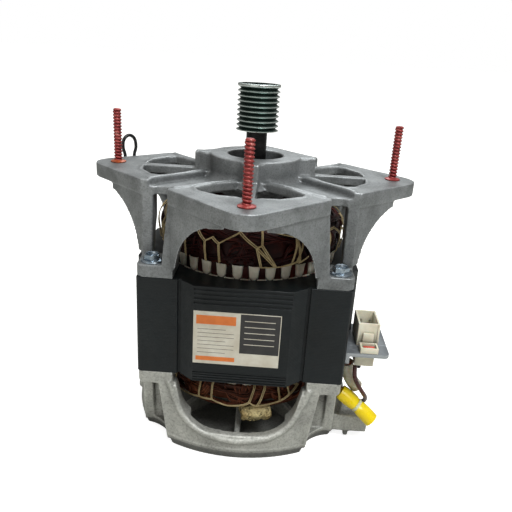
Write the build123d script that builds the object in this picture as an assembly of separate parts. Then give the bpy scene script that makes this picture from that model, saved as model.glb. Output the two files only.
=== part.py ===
from build123d import *
import math
import os

# Washing machine motor, shaft up. Millimetres.
# The origin is on the shaft axis in the plane of the four mounting ears' top faces.
# +Z runs up the shaft to the pulley, -Y is the side with the bare label panel,
# +X is the side with the connector.

# Stator stack
stator_width = 152.4
stack_height = 75.5
panel_half_width_share = 0.2231
panel_projection = 8.3
panel_flank = 10.0
corner_chamfer = 1.5
weld_groove_width = 2.4
weld_groove_depth = 1.8
weld_groove_inset = 1.5
upper_rib_count = 4
upper_rib_pitch = 3.4
lower_rib_count = 4
lower_rib_pitch = 2.1
rib_groove_depth = 0.8
rib_groove_share = 0.45
bore_radius_share = 0.2953
slot_count = 36
slot_mouth_width_share = 0.0171
slot_inner_radius_share = 0.3182
slot_inner_width_share = 0.0262
slot_outer_radius_share = 0.4495
slot_outer_width_share = 0.0512

# Upper end bell
upper_bell_height = 64.2
ear_corner_lateral_share = 0.3543
ear_corner_along_share = 0.5052
ear_end_radius = 17.0
web_edge_radius_share = 0.5118
web_shoulder_share = 0.4462
flange_depth = 10.5
ear_plate_thickness = 6.0
casting_wall = 4.5
skirt_setback = 1.5
skirt_reach_share = 0.6955
floor_recess = 4.5
floor_thickness = 4.1
hub_height = 13.3
hub_radius = 35.0
hub_mouth_radius = 21.3
hub_lip_radius = 17.5
hub_lip_thickness = 2.5
hub_lip_level = 1.0
hub_lower_radius = 27.0
hub_lower_depth = 17.0
buttress_reach = 46.5
buttress_width = 9.0
rib_width = 8.0
stud_boss_radius = 10.0
stud_boss_depth = 13.0
pocket_outer_share = 0.8
pocket_lateral_shares = (0.36, 0.625, 0.672, 0.455, 0.19)
pocket_along_shares = (0.778, 0.685, 0.634, 0.494, 0.40)
recess_shares = ((0.10, 0.22), (0.125, 0.345), (0.265, 0.457), (0.43, 0.62), (0.53, 0.685), (0.72, 0.74))

# Legs and pads that both bells share
leg_depth = 8.0
pad_inner_share = 0.3281
pad_corner_radius = 5.0
upper_pad_thickness = 9.5
lower_pad_thickness = 10.0
upper_leg_foot_share = 0.3839
upper_leg_top_share = 0.3510
lower_leg_foot_share = 0.4003
lower_leg_top_share = 0.3543

# Upper arch between two legs
upper_arch_half_width_share = 0.3281
upper_arch_crown = 48.2
upper_arch_lateral_shares = (1.0, 0.92, 0.79, 0.49, 0.26)
upper_arch_rise_shares = (0.0, 0.41, 0.715, 0.99, 1.0)

# Lower end bell
lower_bell_depth = 65.5
bow_half_width_share = 0.3478
bow_corner_along_share = 0.5020
bow_projection = 12.5
lower_notch_radius_share = 0.5643
rim_depth = 10.0
rim_draft = 18.0
lower_floor_thickness = 6.0
lower_wall = 6.0
lower_wall_setback = 0.8
lower_arch_half_width_share = 0.3248
lower_arch_crown = 43.7
lower_arch_lateral_shares = (1.0, 0.90, 0.735, 0.41)
lower_arch_rise_shares = (0.0, 0.435, 0.80, 0.985)
lower_hub_radius = 27.0
lower_hub_height = 27.0
lower_hub_cap = 5.0
lower_rib_thickness = 4.5
lower_rib_edge_height = 11.0
lower_rib_reach_share = 0.5118
lower_diagonal_reach_share = 0.5249

# Arm for the leads on the lower bell
arm_near_share = -0.6824
arm_width = 18.0
arm_projection = 28.3
arm_root_inset = 2.2
arm_height = 15.0
arm_drop = 44.0
arm_peg_radius = 2.2
arm_peg_length = 4.5
arm_peg_setback = 11.8

# Through bolts in the corners
bolt_offset_share = 0.4364
bolt_radius = 3.15
bolt_clearance = 0.45
bolt_thread_clearance = 0.06
bolt_flange_radius = 7.3
bolt_flange_thickness = 1.6
bolt_head_flats = 11.1
bolt_head_height = 5.2
bolt_end_gap = 0.8

# Mounting studs
stud_circle_radius_share = 0.7041
stud_radius = 3.15
stud_length_up = 40.8
stud_length_down = 12.0
stud_shank_radius = 3.7
stud_collar_radius = 5.9
stud_collar_height = 1.5
stud_tip_chamfer = 0.7
stud_fit = 0.06

# Shaft, rotor and pulley
shaft_radius = 7.9375
shaft_body_radius = 10.0
shaft_end_chamfer = 0.8
shaft_centre_radius = 1.6
shaft_centre_depth = 4.0
air_gap = 0.5
rotor_fit = 0.03
end_ring_outer_share = 0.2822
end_ring_inner_share = 0.1772
end_ring_height = 7.0
fan_blade_count = 10
fan_blade_height = 11.0
fan_blade_thickness = 2.5
fan_blade_inner_share = 0.1969
pulley_height = 33.6
pulley_base_level = 31.6
pulley_radius = 16.0
pulley_rim_height = 1.7
groove_count = 9
groove_pitch = 3.56
groove_depth = 2.3
pulley_fit = 0.03

# Bearings, one size at both ends
bearing_outer_radius = 20.0
bearing_width = 12.0
bearing_outer_ring_inner = 16.4
bearing_inner_ring_outer = 11.2
ball_count = 7
ball_clearance = 0.3
ball_facet_angle = 30.0
shield_thickness = 0.8
shield_gap = 0.4
bearing_seat_fit = 0.05
bearing_shaft_fit = 0.03
wave_washer_thickness = 0.7
wave_washer_gap = 0.3
wave_washer_outer_gap = 0.4
wave_washer_inner_radius = 18.2

# Windings: one body of turns with 36 sides through the slots
liner_thickness = 0.9
liner_gap = 0.3
liner_height = 10.5
liner_flange_share = 0.30
coil_side_gap = 0.4
end_turn_base = 12.0
end_turn_inner_share = 0.3314
end_turn_centre_share = 0.3609
end_turn_bulge_share = 0.4888
end_turn_waist = 16.0
upper_end_turn_height = 41.0
lower_end_turn_height = 38.0
turn_radius = 2.1
turn_core_gap = 0.3
turn_foot_angle = -9.0
turn_crown_angle = 82.0
turn_middle_angle = 35.0
upper_turn_count = 6
lower_turn_count = 5
turn_sides = 6
stations_per_turn = 24
turn_start_angle = 30.0

# Thermal protector tied under the lower end turns
protector_length = 20.5
protector_width = 9.5
protector_height = 8.5
protector_edge_radius = 2.2
protector_place_angle_on_turns = 55.0
protector_place_angle = 11.0

# Connector on its bracket
bracket_thickness = 3.0
bracket_top_drop = 50.0
bracket_projection = 32.3
bracket_near_share = -0.9580
bracket_far_share = -0.3281
bracket_gap = 0.4
bracket_corner_radius = 4.0
bracket_tab_depth = 9.0
bracket_tab_far_share = -0.6168
header_setback = 9.2
header_width = 16.0
header_near_share = -0.7874
header_depth = 23.5
header_height = 18.2
header_wall = 1.5
header_floor = 4.0
header_neck_margin = 1.2
header_rib_width = 1.5
header_rib_projection = 0.8
header_gap = 0.3
latch_width = 8.0
latch_height = 9.5
latch_thickness = 2.0
latch_rise = 1.5
terminal_columns = 3
terminal_rows = 2
terminal_size = 1.1
terminal_height = 9.0
plug_height = 15.5
plug_margin = 0.8
plug_foot_radius = 1.0
socket_width = 13.0
socket_depth = 9.0
socket_height = 4.5
socket_wall = 1.3
socket_near_gap = 1.5

# Leads and their sleeves. Each place is given as three shares: of the bracket's projection
# beyond the stator's side, of the stator's half width sideways, and of the lead's drop.
cord_sides = 6
lead_gap = 0.5
arc_run_share = 0.45
red_lead_radius = 1.3
red_lead_length = 8.0
brown_lead_radius = 1.7
brown_lead_route_shares = (
    (0.3467, -0.7612, 0.0000),
    (0.3467, -0.7612, 0.2267),
    (0.4768, -0.7612, 0.4433),
    (0.6285, -0.7415, 0.6323),
    (0.7368, -0.6824, 0.8010),
    (0.7523, -0.5971, 0.9396),
    (0.5820, -0.5315, 0.9899),
    (0.3189, -0.5118, 0.9144),
    (0.0557, -0.5052, 0.7758),
    (-0.2074, -0.4987, 0.6499),
)
sleeve_radius = 6.2
sleeve_wall = 0.9
sleeve_start_shares = (0.1641, -0.6562, 0.7808)
sleeve_end_shares = (0.8916, -0.7874, 1.1788)
cream_sleeve_radius = 5.2
cream_sleeve_wall = 0.7
cream_sleeve_sides = 10
cream_sleeve_route_shares = (
    (0.1796, -0.6562, 0.0479),
    (0.2601, -0.6234, 0.4357),
    (0.5201, -0.5840, 0.6751),
)
tie_place_share = 0.49
tie_width = 3.4
tie_thickness = 1.2
tie_gap = 0.3
tie_head_length = 5.5
tie_head_width = 4.6
tie_head_height = 3.6

# Loop of black wire clipped to the edge of the -X ear
loop_wire_radius = 1.35
loop_edge_share = 0.64
loop_edge_gap = 1.4
loop_route = (
    (-3.8, -9.4),
    (-3.8, 0.6),
    (-6.4, 6.0),
    (-5.2, 14.2),
    (0.4, 17.4),
    (5.6, 13.8),
    (6.3, 6.4),
    (3.8, 0.4),
    (3.8, -9.4),
)
clip_length = 14.0
clip_depth = 5.4
clip_height = 6.0
clip_top_drop = 3.2
clip_wire_gap = 0.05

# Allowances shared by the cuts and seats
overrun = 2.0
seat_gap = 0.3

# Levels and lengths worked out from the driving sizes
half_stator = stator_width / 2
panel_half_width = stator_width * panel_half_width_share
bore_radius = stator_width * bore_radius_share
slot_mouth_width = stator_width * slot_mouth_width_share
slot_inner_radius = stator_width * slot_inner_radius_share
slot_inner_width = stator_width * slot_inner_width_share
slot_outer_radius = stator_width * slot_outer_radius_share
slot_outer_width = stator_width * slot_outer_width_share
ear_corner_lateral = stator_width * ear_corner_lateral_share
ear_corner_along = stator_width * ear_corner_along_share
web_edge_radius = stator_width * web_edge_radius_share
web_shoulder = stator_width * web_shoulder_share
stud_circle_radius = stator_width * stud_circle_radius_share
skirt_reach = stator_width * skirt_reach_share
pad_inner = stator_width * pad_inner_share
upper_leg_foot = stator_width * upper_leg_foot_share
upper_leg_top = stator_width * upper_leg_top_share
lower_leg_foot = stator_width * lower_leg_foot_share
lower_leg_top = stator_width * lower_leg_top_share
upper_arch_half_width = stator_width * upper_arch_half_width_share
bow_half_width = stator_width * bow_half_width_share
bow_corner_along = stator_width * bow_corner_along_share
lower_notch_radius = stator_width * lower_notch_radius_share
lower_arch_half_width = stator_width * lower_arch_half_width_share
lower_rib_reach = stator_width * lower_rib_reach_share
lower_diagonal_reach = stator_width * lower_diagonal_reach_share
bolt_offset = stator_width * bolt_offset_share
end_turn_inner = stator_width * end_turn_inner_share
end_turn_centre = stator_width * end_turn_centre_share
end_turn_bulge = stator_width * end_turn_bulge_share
end_ring_outer = stator_width * end_ring_outer_share
end_ring_inner = stator_width * end_ring_inner_share
fan_blade_inner = stator_width * fan_blade_inner_share
arm_near = half_stator * arm_near_share
bracket_near = half_stator * bracket_near_share
bracket_far = half_stator * bracket_far_share
bracket_tab_far = half_stator * bracket_tab_far_share
header_near = half_stator * header_near_share
bracket_reach = half_stator + bracket_projection
header_inner = half_stator + header_setback
arm_reach = half_stator + arm_projection
arm_peg_at = half_stator + arm_peg_setback
arm_root = half_stator - arm_root_inset
stator_top = -upper_bell_height
stator_bottom = stator_top - stack_height
base_level = stator_bottom - lower_bell_depth
panel_face = half_stator + panel_projection
upper_bearing_top = hub_lip_level - hub_lip_thickness - wave_washer_thickness - 2 * wave_washer_gap
upper_bearing_bottom = upper_bearing_top - bearing_width
lower_bearing_bottom = base_level + lower_hub_cap + seat_gap
lower_bearing_top = lower_bearing_bottom + bearing_width
rotor_radius = bore_radius - air_gap
shaft_top = pulley_base_level + pulley_height - shaft_end_chamfer
quarter_turns = (0, 90, 180, 270)
corner_signs = ((1, -1), (1, 1), (-1, 1), (-1, -1))


def save(shape, node):
    """Write one sub-part under its node name."""
    export_step(shape, f"parts/{node}.step")


def block(x_span, y_span, z_span):
    """Box between two values on each axis."""
    size = [abs(span[1] - span[0]) for span in (x_span, y_span, z_span)]
    middle = [(span[0] + span[1]) / 2 for span in (x_span, y_span, z_span)]
    return Pos(*middle) * Box(*size)


def rod(radius, bottom, top, x=0, y=0):
    """Upright cylinder between two levels."""
    return Pos(x, y, (bottom + top) / 2) * Cylinder(radius, top - bottom)


def tube(outer, inner, bottom, top):
    """Upright ring on the shaft axis."""
    return rod(outer, bottom, top) - rod(inner, bottom - overrun, top + overrun)


def plate(face, bottom, top):
    """Flat outline raised between two levels."""
    return Pos(0, 0, bottom) * extrude(face, top - bottom)


def around(shape):
    """The shape at each of the four sides."""
    return [Rot(0, 0, turn) * shape for turn in quarter_turns]


def polygon(points):
    """Closed straight-sided outline."""
    return make_face(Polyline(*points, close=True))


def turned(points, turn):
    """Points of the -Y side moved round to another side."""
    cosine = math.cos(math.radians(turn))
    sine = math.sin(math.radians(turn))
    return [(x * cosine - y * sine, x * sine + y * cosine) for x, y in points]


def profile_ring(points):
    """Ring turned from an outline of radius and level points."""
    outline = make_face(Polyline(*[(radius, 0, level) for radius, level in points], close=True))
    return revolve(outline, Axis.Z)


def bolt_holes(radius, bottom, top):
    """The four through bolts' holes between two levels."""
    span = (bottom - overrun, top + overrun)
    return [rod(radius, *span, x * bolt_offset, y * bolt_offset) for x, y in corner_signs]


def bend_radii(route):
    """Largest arc that the shorter run beside each corner of a route allows."""
    points = [Vector(*point) for point in route]
    radii = []
    for before, corner, after in zip(points, points[1:], points[2:]):
        into = corner - before
        away = after - corner
        half_turn = math.radians(into.get_angle(away)) / 2
        radii.append(arc_run_share * min(into.length, away.length) / math.tan(half_turn))
    return radii


def cord(route, section, name):
    """Cord or sleeve along a route of straight runs joined by arcs."""
    radii = bend_radii(route)
    print(name, "bend radii", [round(radius, 1) for radius in radii])
    path = FilletPolyline(*route, radius=radii)
    start = Plane(origin=path @ 0, z_dir=path % 0)
    return sweep(start * section, path)


# Upper end bell

def ear_tangent():
    """Where an ear's straight side meets its rounded end, as lateral and along."""
    side = ear_corner_lateral
    rise = stud_circle_radius - ear_corner_along
    reach = math.hypot(side, rise)
    heading = math.atan2(rise, -side) - math.asin(ear_end_radius / reach)
    length = math.sqrt(reach ** 2 - ear_end_radius ** 2)
    return side + length * math.cos(heading), ear_corner_along + length * math.sin(heading)


def ear_plan():
    """Plan of the four ears with the hollow edges of the webs between them."""
    lateral, along = ear_tangent()
    web_middle = web_edge_radius / math.sqrt(2)
    edges = []
    for turn in quarter_turns:
        points = turned([
            (-ear_corner_lateral, -ear_corner_along),
            (-lateral, -along),
            (0, -stud_circle_radius - ear_end_radius),
            (lateral, -along),
            (ear_corner_lateral, -ear_corner_along),
            (ear_corner_lateral, -web_shoulder),
            (web_middle, -web_middle),
            (web_shoulder, -ear_corner_lateral),
            (ear_corner_along, -ear_corner_lateral),
        ], turn)
        edges.append(Line(points[0], points[1]))
        edges.append(ThreePointArc(points[1], points[2], points[3]))
        edges.append(Line(points[3], points[4]))
        edges.append(Line(points[4], points[5]))
        edges.append(ThreePointArc(points[5], points[6], points[7]))
        edges.append(Line(points[7], points[8]))
    return make_face(edges)


def upper_arch():
    """Solid of the opening between two legs of the -Y side."""
    lateral = [share * upper_arch_half_width for share in upper_arch_lateral_shares]
    rise = [stator_top + share * upper_arch_crown for share in upper_arch_rise_shares]
    top = -flange_depth
    right = [(lateral[i], 0, rise[i]) for i in range(len(lateral))]
    left = [(-x, y, z) for x, y, z in right]
    low = stator_top - overrun
    edges = [
        Line((left[0][0], 0, low), (right[0][0], 0, low)),
        Line((right[0][0], 0, low), right[0]),
        Line(right[0], right[1]),
        ThreePointArc(right[1], right[2], right[3]),
        Line(right[3], right[4]),
        Line(right[4], (right[4][0], 0, top)),
        Line((right[4][0], 0, top), (left[4][0], 0, top)),
        Line((left[4][0], 0, top), left[4]),
        Line(left[4], left[3]),
        ThreePointArc(left[3], left[2], left[1]),
        Line(left[1], left[0]),
        Line(left[0], (left[0][0], 0, low)),
    ]
    reach = stud_circle_radius + ear_end_radius
    return extrude(make_face(edges), reach, dir=(0, -1, 0))


def corner_pads(bottom, top):
    """The four square pads on the stator's corners."""
    whole = Rectangle(stator_width, stator_width)
    whole = fillet(whole.vertices(), pad_corner_radius)
    across = Rectangle(pad_inner * 2, stator_width + overrun)
    along = Rectangle(stator_width + overrun, pad_inner * 2)
    return plate(whole - across - along, bottom, top)


def leg_pair(foot, top, foot_level, top_level, inner):
    """Two legs of the -Y side, tapering on their outer edges."""
    outline = make_face(Polyline(
        (inner, 0, foot_level),
        (foot, 0, foot_level),
        (top, 0, top_level),
        (inner, 0, top_level),
        close=True,
    ))
    right = Pos(0, -(half_stator - leg_depth), 0) * extrude(outline, leg_depth, dir=(0, -1, 0))
    return right + mirror(right, Plane.YZ)


def ear_pockets():
    """Two through pockets of the -Y ear, either side of its centre rib."""
    rib_edge = rib_width / 2
    inner = stud_circle_radius * pocket_along_shares[-1]
    outer = stud_circle_radius * pocket_outer_share
    points = [(rib_edge, -inner), (rib_edge, -outer)]
    for lateral_share, along_share in zip(pocket_lateral_shares, pocket_along_shares):
        points.append((ear_corner_lateral * lateral_share, -stud_circle_radius * along_share))
    right = plate(polygon(points), -flange_depth - overrun, overrun)
    return right + mirror(right, Plane.YZ)


def web_floor():
    """Plan of the low floor between two ears, past the web's edge."""
    first = [(stud_circle_radius * x, -stud_circle_radius * y) for x, y in recess_shares]
    second = [(-y, -x) for x, y in reversed(first)]
    return polygon(first + second)


def upper_end_bell():
    """Cast upper bell: ears, hub, skirts, legs and pads."""
    plan = ear_plan()
    body = plate(plan, -flange_depth, 0)
    inside = offset(plan, -casting_wall - skirt_setback)
    body -= plate(inside, -flange_depth - overrun, -ear_plate_thickness)
    floor = web_floor()
    body += around(plate(floor & plan, -floor_recess - floor_thickness, -floor_recess))

    outer = offset(plan, -skirt_setback) & Rectangle(skirt_reach * 2, skirt_reach * 2)
    hollow_reach = skirt_reach - casting_wall
    hollow = offset(plan, -skirt_setback - casting_wall) & Rectangle(hollow_reach * 2, hollow_reach * 2)
    arms = Rectangle(upper_leg_top * 2, skirt_reach * 2) + Rectangle(skirt_reach * 2, upper_leg_top * 2)
    within_legs = Rectangle((half_stator - leg_depth) * 2, (half_stator - leg_depth) * 2)
    wall = ((outer - hollow) & arms) - within_legs
    skirt = plate(wall, stator_top + upper_pad_thickness, -ear_plate_thickness)
    body += skirt
    legs = leg_pair(
        upper_leg_foot,
        upper_leg_top,
        stator_top + upper_pad_thickness - overrun,
        -ear_plate_thickness,
        upper_arch_half_width * upper_arch_lateral_shares[2],
    )
    for leg in around(legs):
        body += leg
    for arch in around(upper_arch()):
        body -= arch
    body += corner_pads(stator_top, stator_top + upper_pad_thickness)

    body -= around(ear_pockets())
    body -= around(plate(floor, -floor_recess, overrun))
    body += rod(hub_radius, -flange_depth, hub_height)
    body += rod(hub_lower_radius, -hub_lower_depth, 0)
    buttress = block(
        (-buttress_width / 2, buttress_width / 2),
        (-buttress_reach, 0),
        (-flange_depth, hub_height),
    )
    body += around(buttress)
    boss = rod(stud_boss_radius, -stud_boss_depth, 0, 0, -stud_circle_radius)
    body += around(boss)

    body -= rod(hub_mouth_radius, hub_lip_level, hub_height + overrun)
    body -= rod(hub_lip_radius, -hub_lower_depth, hub_height)
    seat = bearing_outer_radius + bearing_seat_fit
    body -= rod(seat, -hub_lower_depth - overrun, hub_lip_level - hub_lip_thickness)
    stud_hole = rod(stud_shank_radius + stud_fit, -stud_boss_depth - overrun, overrun, 0, -stud_circle_radius)
    body -= around(stud_hole)
    return body - bolt_holes(bolt_radius + bolt_clearance, stator_top, stator_top + upper_pad_thickness)


# Lower end bell

def lower_plan():
    """Plan of the lower bell's rim: four bowed sides and notched corners."""
    notch = lower_notch_radius / math.sqrt(2)
    edges = []
    for turn in quarter_turns:
        points = turned([
            (-bow_half_width, -bow_corner_along),
            (0, -bow_corner_along - bow_projection),
            (bow_half_width, -bow_corner_along),
            (notch, -notch),
            (bow_corner_along, -bow_half_width),
        ], turn)
        edges.append(ThreePointArc(points[0], points[1], points[2]))
        edges.append(ThreePointArc(points[2], points[3], points[4]))
    return make_face(edges)


def lower_arch():
    """Solid of the opening between two legs of the -Y side."""
    lateral = [share * lower_arch_half_width for share in lower_arch_lateral_shares]
    drop = [stator_bottom - share * lower_arch_crown for share in lower_arch_rise_shares]
    crown = stator_bottom - lower_arch_crown
    right = [(lateral[i], 0, drop[i]) for i in range(len(lateral))]
    left = [(-x, y, z) for x, y, z in right]
    high = stator_bottom + overrun
    edges = [
        Line((left[0][0], 0, high), (right[0][0], 0, high)),
        Line((right[0][0], 0, high), right[0]),
        Line(right[0], right[1]),
        ThreePointArc(right[1], right[2], right[3]),
        ThreePointArc(right[3], (0, 0, crown), left[3]),
        ThreePointArc(left[3], left[2], left[1]),
        Line(left[1], left[0]),
        Line(left[0], (left[0][0], 0, high)),
    ]
    return extrude(make_face(edges), panel_face + bow_projection, dir=(0, -1, 0))


def lower_rib(reach):
    """Upright rib from the lower hub out along +X, sloping down to its end."""
    floor = base_level + lower_floor_thickness
    outline = make_face(Polyline(
        (0, 0, floor - overrun),
        (reach, 0, floor - overrun),
        (reach, 0, base_level + lower_rib_edge_height),
        (lower_hub_radius, 0, base_level + lower_hub_height),
        (0, 0, base_level + lower_hub_height),
        close=True,
    ))
    return Pos(0, lower_rib_thickness / 2, 0) * extrude(outline, lower_rib_thickness, dir=(0, -1, 0))


def lower_end_bell():
    """Cast lower bell: bowed rim and walls, legs, pads, ribs, hub and arm."""
    plan = lower_plan()
    rim_top = base_level + rim_depth
    body = Pos(0, 0, rim_top) * extrude(plan, -rim_depth, taper=rim_draft)
    hollow = offset(plan, -lower_wall - lower_wall_setback)
    body -= plate(hollow, base_level + lower_floor_thickness, rim_top + overrun)

    wall = offset(plan, -lower_wall_setback) - hollow
    span = (bow_corner_along + bow_projection) * 2
    arms = Rectangle(lower_leg_top * 2, span) + Rectangle(span, lower_leg_top * 2)
    body += plate(wall & arms, base_level + lower_floor_thickness, stator_bottom - lower_pad_thickness)
    legs = leg_pair(
        lower_leg_foot,
        lower_leg_top,
        stator_bottom - lower_pad_thickness + overrun,
        base_level + lower_floor_thickness,
        lower_arch_half_width * lower_arch_lateral_shares[2],
    )
    body += around(legs)
    body -= around(lower_arch())
    body += corner_pads(stator_bottom - lower_pad_thickness, stator_bottom)

    for turn in quarter_turns:
        body += Rot(0, 0, turn) * lower_rib(lower_rib_reach)
        body += Rot(0, 0, turn + 45) * lower_rib(lower_diagonal_reach)
    body += rod(lower_hub_radius, base_level, base_level + lower_hub_height)
    seat = bearing_outer_radius + bearing_seat_fit
    body -= rod(seat, base_level + lower_hub_cap, base_level + lower_hub_height + overrun)

    arm_top = stator_bottom - arm_drop
    body += block((arm_root, arm_reach), (arm_near, arm_near + arm_width), (arm_top - arm_height, arm_top))
    peg_top = arm_top - arm_height
    body += rod(arm_peg_radius, peg_top - arm_peg_length, peg_top, arm_peg_at, arm_near + arm_peg_radius)
    pad_bottom = stator_bottom - lower_pad_thickness
    return body - bolt_holes(bolt_radius + bolt_thread_clearance, pad_bottom, stator_bottom)


# Stator stack and slot liners

def stator_outline():
    """Square lamination with a raised panel on each side."""
    points = []
    for turn in quarter_turns:
        points += turned([
            (-half_stator + corner_chamfer, -half_stator),
            (-panel_half_width - panel_flank, -half_stator),
            (-panel_half_width, -panel_face),
            (panel_half_width, -panel_face),
            (panel_half_width + panel_flank, -half_stator),
            (half_stator - corner_chamfer, -half_stator),
        ], turn)
    return polygon(points)


def slot_face():
    """One winding slot on the -Y side, narrowing to its mouth at the bore."""
    mouth_half = slot_mouth_width / 2
    inner_half = slot_inner_width / 2
    outer_half = slot_outer_width / 2
    right = [
        (mouth_half, -bore_radius + overrun),
        (mouth_half, -bore_radius),
        (inner_half, -slot_inner_radius),
        (outer_half, -slot_outer_radius),
    ]
    return polygon(right + [(-x, y) for x, y in reversed(right)])


def slot_turns():
    """Angles of the slots, the first one on -Y."""
    return [index * 360 / slot_count for index in range(slot_count)]


def rib_grooves():
    """Level spans of the shallow grooves near the top and foot of each panel."""
    spans = []
    for index in range(upper_rib_count):
        top = stator_top - upper_rib_pitch * (index + rib_groove_share)
        spans.append((top - upper_rib_pitch * rib_groove_share, top))
    for index in range(lower_rib_count):
        bottom = stator_bottom + lower_rib_pitch * (index + rib_groove_share)
        spans.append((bottom, bottom + lower_rib_pitch * rib_groove_share))
    return spans


def stator_core():
    """Laminated stack with its bore, slots, bolt holes and outer grooves."""
    face = stator_outline() - Circle(bore_radius)
    face -= [Rot(0, 0, turn) * slot_face() for turn in slot_turns()]
    for x_sign, y_sign in corner_signs:
        face -= Pos(x_sign * bolt_offset, y_sign * bolt_offset) * Circle(bolt_radius + bolt_clearance)
    groove_at = panel_half_width + panel_flank + weld_groove_inset
    for turn in quarter_turns:
        for side in (-1, 1):
            groove = Pos(side * groove_at, -half_stator) * Rectangle(weld_groove_width, weld_groove_depth * 2)
            face -= Rot(0, 0, turn) * groove
    body = plate(face, stator_bottom, stator_top)
    for span in rib_grooves():
        groove = block(
            (-panel_half_width, panel_half_width),
            (-panel_face - overrun, -panel_face + rib_groove_depth),
            span,
        )
        body -= around(groove)
    return body


def slot_liners():
    """Folded insulation cuffs that line each slot and stand out at both ends."""
    back = slot_outer_radius - liner_gap
    half = slot_outer_width / 2 - liner_gap
    taper = (slot_outer_width - slot_inner_width) / 2 / (slot_outer_radius - slot_inner_radius)
    flange = (slot_outer_radius - slot_inner_radius) * liner_flange_share
    half_at_flange = half - flange * taper
    face = polygon([
        (-half, -back),
        (half, -back),
        (half_at_flange, -back + flange),
        (half_at_flange - liner_thickness, -back + flange),
        (half - liner_thickness, -back + liner_thickness),
        (-half + liner_thickness, -back + liner_thickness),
        (-half_at_flange + liner_thickness, -back + flange),
        (-half_at_flange, -back + flange),
    ])
    liner = plate(face, stator_bottom - liner_height, stator_top + liner_height)
    return Compound([Rot(0, 0, turn) * liner for turn in slot_turns()])


# Windings

def end_turn_point(height, angle, inset):
    """Radius and height on the oval that one end's outer turns follow, drawn in by an inset."""
    across = end_turn_bulge - end_turn_centre - turn_radius - inset
    upward = height - end_turn_waist - turn_radius - inset
    turn = math.radians(angle)
    return end_turn_centre + across * math.cos(turn), end_turn_waist + upward * math.sin(turn)


def faceted_stack(outline):
    """Solid of flat facets through radius and level points, with its corners at the turns' stations."""
    sections = [Pos(0, 0, level) * RegularPolygon(radius, stations_per_turn) for radius, level in outline]
    return loft(sections, ruled=True)


def end_turn_core(height, sign, start):
    """Plain ring under the outer turns of one end."""
    inset = turn_radius + turn_core_gap
    angles = (0, turn_middle_angle, turn_crown_angle)
    outer = [end_turn_point(height, angle, inset) for angle in angles]
    crown = outer[-1][1]
    outline = [(outer[0][0], end_turn_base)] + outer
    body = faceted_stack([(radius, start + sign * level) for radius, level in outline])
    levels = sorted((start + sign * (end_turn_base - overrun), start + sign * (crown + overrun)))
    return body - rod(end_turn_inner, *levels)


def winding_sides():
    """Varnished sides of the coils, one through every slot, between the two rings."""
    inset = liner_gap + liner_thickness + coil_side_gap
    half_inner = slot_inner_width / 2 - coil_side_gap
    half_outer = slot_outer_width / 2 - inset
    side = plate(
        polygon([
            (-half_inner, -slot_inner_radius - inset),
            (half_inner, -slot_inner_radius - inset),
            (half_outer, -slot_outer_radius + inset),
            (-half_outer, -slot_outer_radius + inset),
        ]),
        stator_bottom - end_turn_base,
        stator_top + end_turn_base,
    )
    return Compound([Rot(0, 0, turn) * side for turn in slot_turns()])


def turn_station(height, sign, start, count, share):
    """Place and heading of the outer turns at a share of their length."""
    sweep_angle = turn_crown_angle - turn_foot_angle
    angle = turn_foot_angle + sweep_angle * share
    radius, level = end_turn_point(height, angle, 0)
    across = end_turn_bulge - end_turn_centre - turn_radius
    upward = height - end_turn_waist - turn_radius
    rate = math.radians(sweep_angle)
    radial_rate = -across * math.sin(math.radians(angle)) * rate
    level_rate = sign * upward * math.cos(math.radians(angle)) * rate
    round_rate = math.radians(360 * count)
    round_angle = round_rate * share + math.radians(turn_start_angle)
    outward = Vector(math.cos(round_angle), math.sin(round_angle), 0)
    along = Vector(-math.sin(round_angle), math.cos(round_angle), 0)
    place = outward * radius + Vector(0, 0, start + sign * level)
    heading = outward * radial_rate + along * (radius * round_rate) + Vector(0, 0, level_rate)
    return place, heading.normalized()


def least_turn_gap(height, sign, start, count):
    """Least clear distance between neighbouring turns, measured on points."""
    total = stations_per_turn * count
    places = [turn_station(height, sign, start, count, index / total)[0] for index in range(total + 1)]
    half = stations_per_turn // 2
    gaps = [
        (places[later] - places[index]).length
        for index in range(total + 1)
        for later in range(index + half, total + 1)
    ]
    return min(gaps) - turn_radius * 2


def winding_turns(height, sign, start, count, name):
    """Outer layer of turns of one end as one unbroken tube with straight ends."""
    stations = count * stations_per_turn
    marks = [turn_station(height, sign, start, count, index / stations) for index in range(stations + 1)]
    foot, foot_heading = marks[0]
    crown, crown_heading = marks[-1]
    marks.insert(0, (foot - foot_heading * turn_radius * 2, foot_heading))
    marks.append((crown + crown_heading * turn_radius * 2, crown_heading))
    sections = [
        Plane(origin=place, x_dir=(0, 0, 1), z_dir=heading) * RegularPolygon(turn_radius, turn_sides)
        for place, heading in marks
    ]
    print(name, "least gap", round(least_turn_gap(height, sign, start, count), 2))
    return loft(sections, ruled=True)


def thermal_protector():
    """Covered protector lying against the outside of the lower end turns."""
    body = Box(protector_length, protector_width, protector_height)
    body = fillet(body.edges().filter_by(Axis.X), protector_edge_radius)
    outset = -turn_radius - 2 * seat_gap - protector_height / 2
    radius, level = end_turn_point(lower_end_turn_height, protector_place_angle_on_turns, outset)
    tilt = Rot(90 - protector_place_angle_on_turns, 0, 0)
    return Rot(0, 0, protector_place_angle) * Pos(0, -radius, stator_bottom - level) * tilt * body


# Shaft, rotor and bearings

def shaft():
    """Stepped shaft from the lower bearing to the top of the pulley."""
    body = rod(shaft_radius, lower_bearing_bottom, shaft_top)
    body = chamfer(body.edges().group_by(Axis.Z)[-1], shaft_end_chamfer)
    body += rod(shaft_body_radius, lower_bearing_top + seat_gap, upper_bearing_bottom - seat_gap)
    body -= rod(shaft_centre_radius, shaft_top - shaft_centre_depth, shaft_top + overrun)
    return body


def rotor_core():
    """Laminated rotor cylinder on the shaft."""
    return tube(rotor_radius, shaft_body_radius + rotor_fit, stator_bottom, stator_top)


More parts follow.
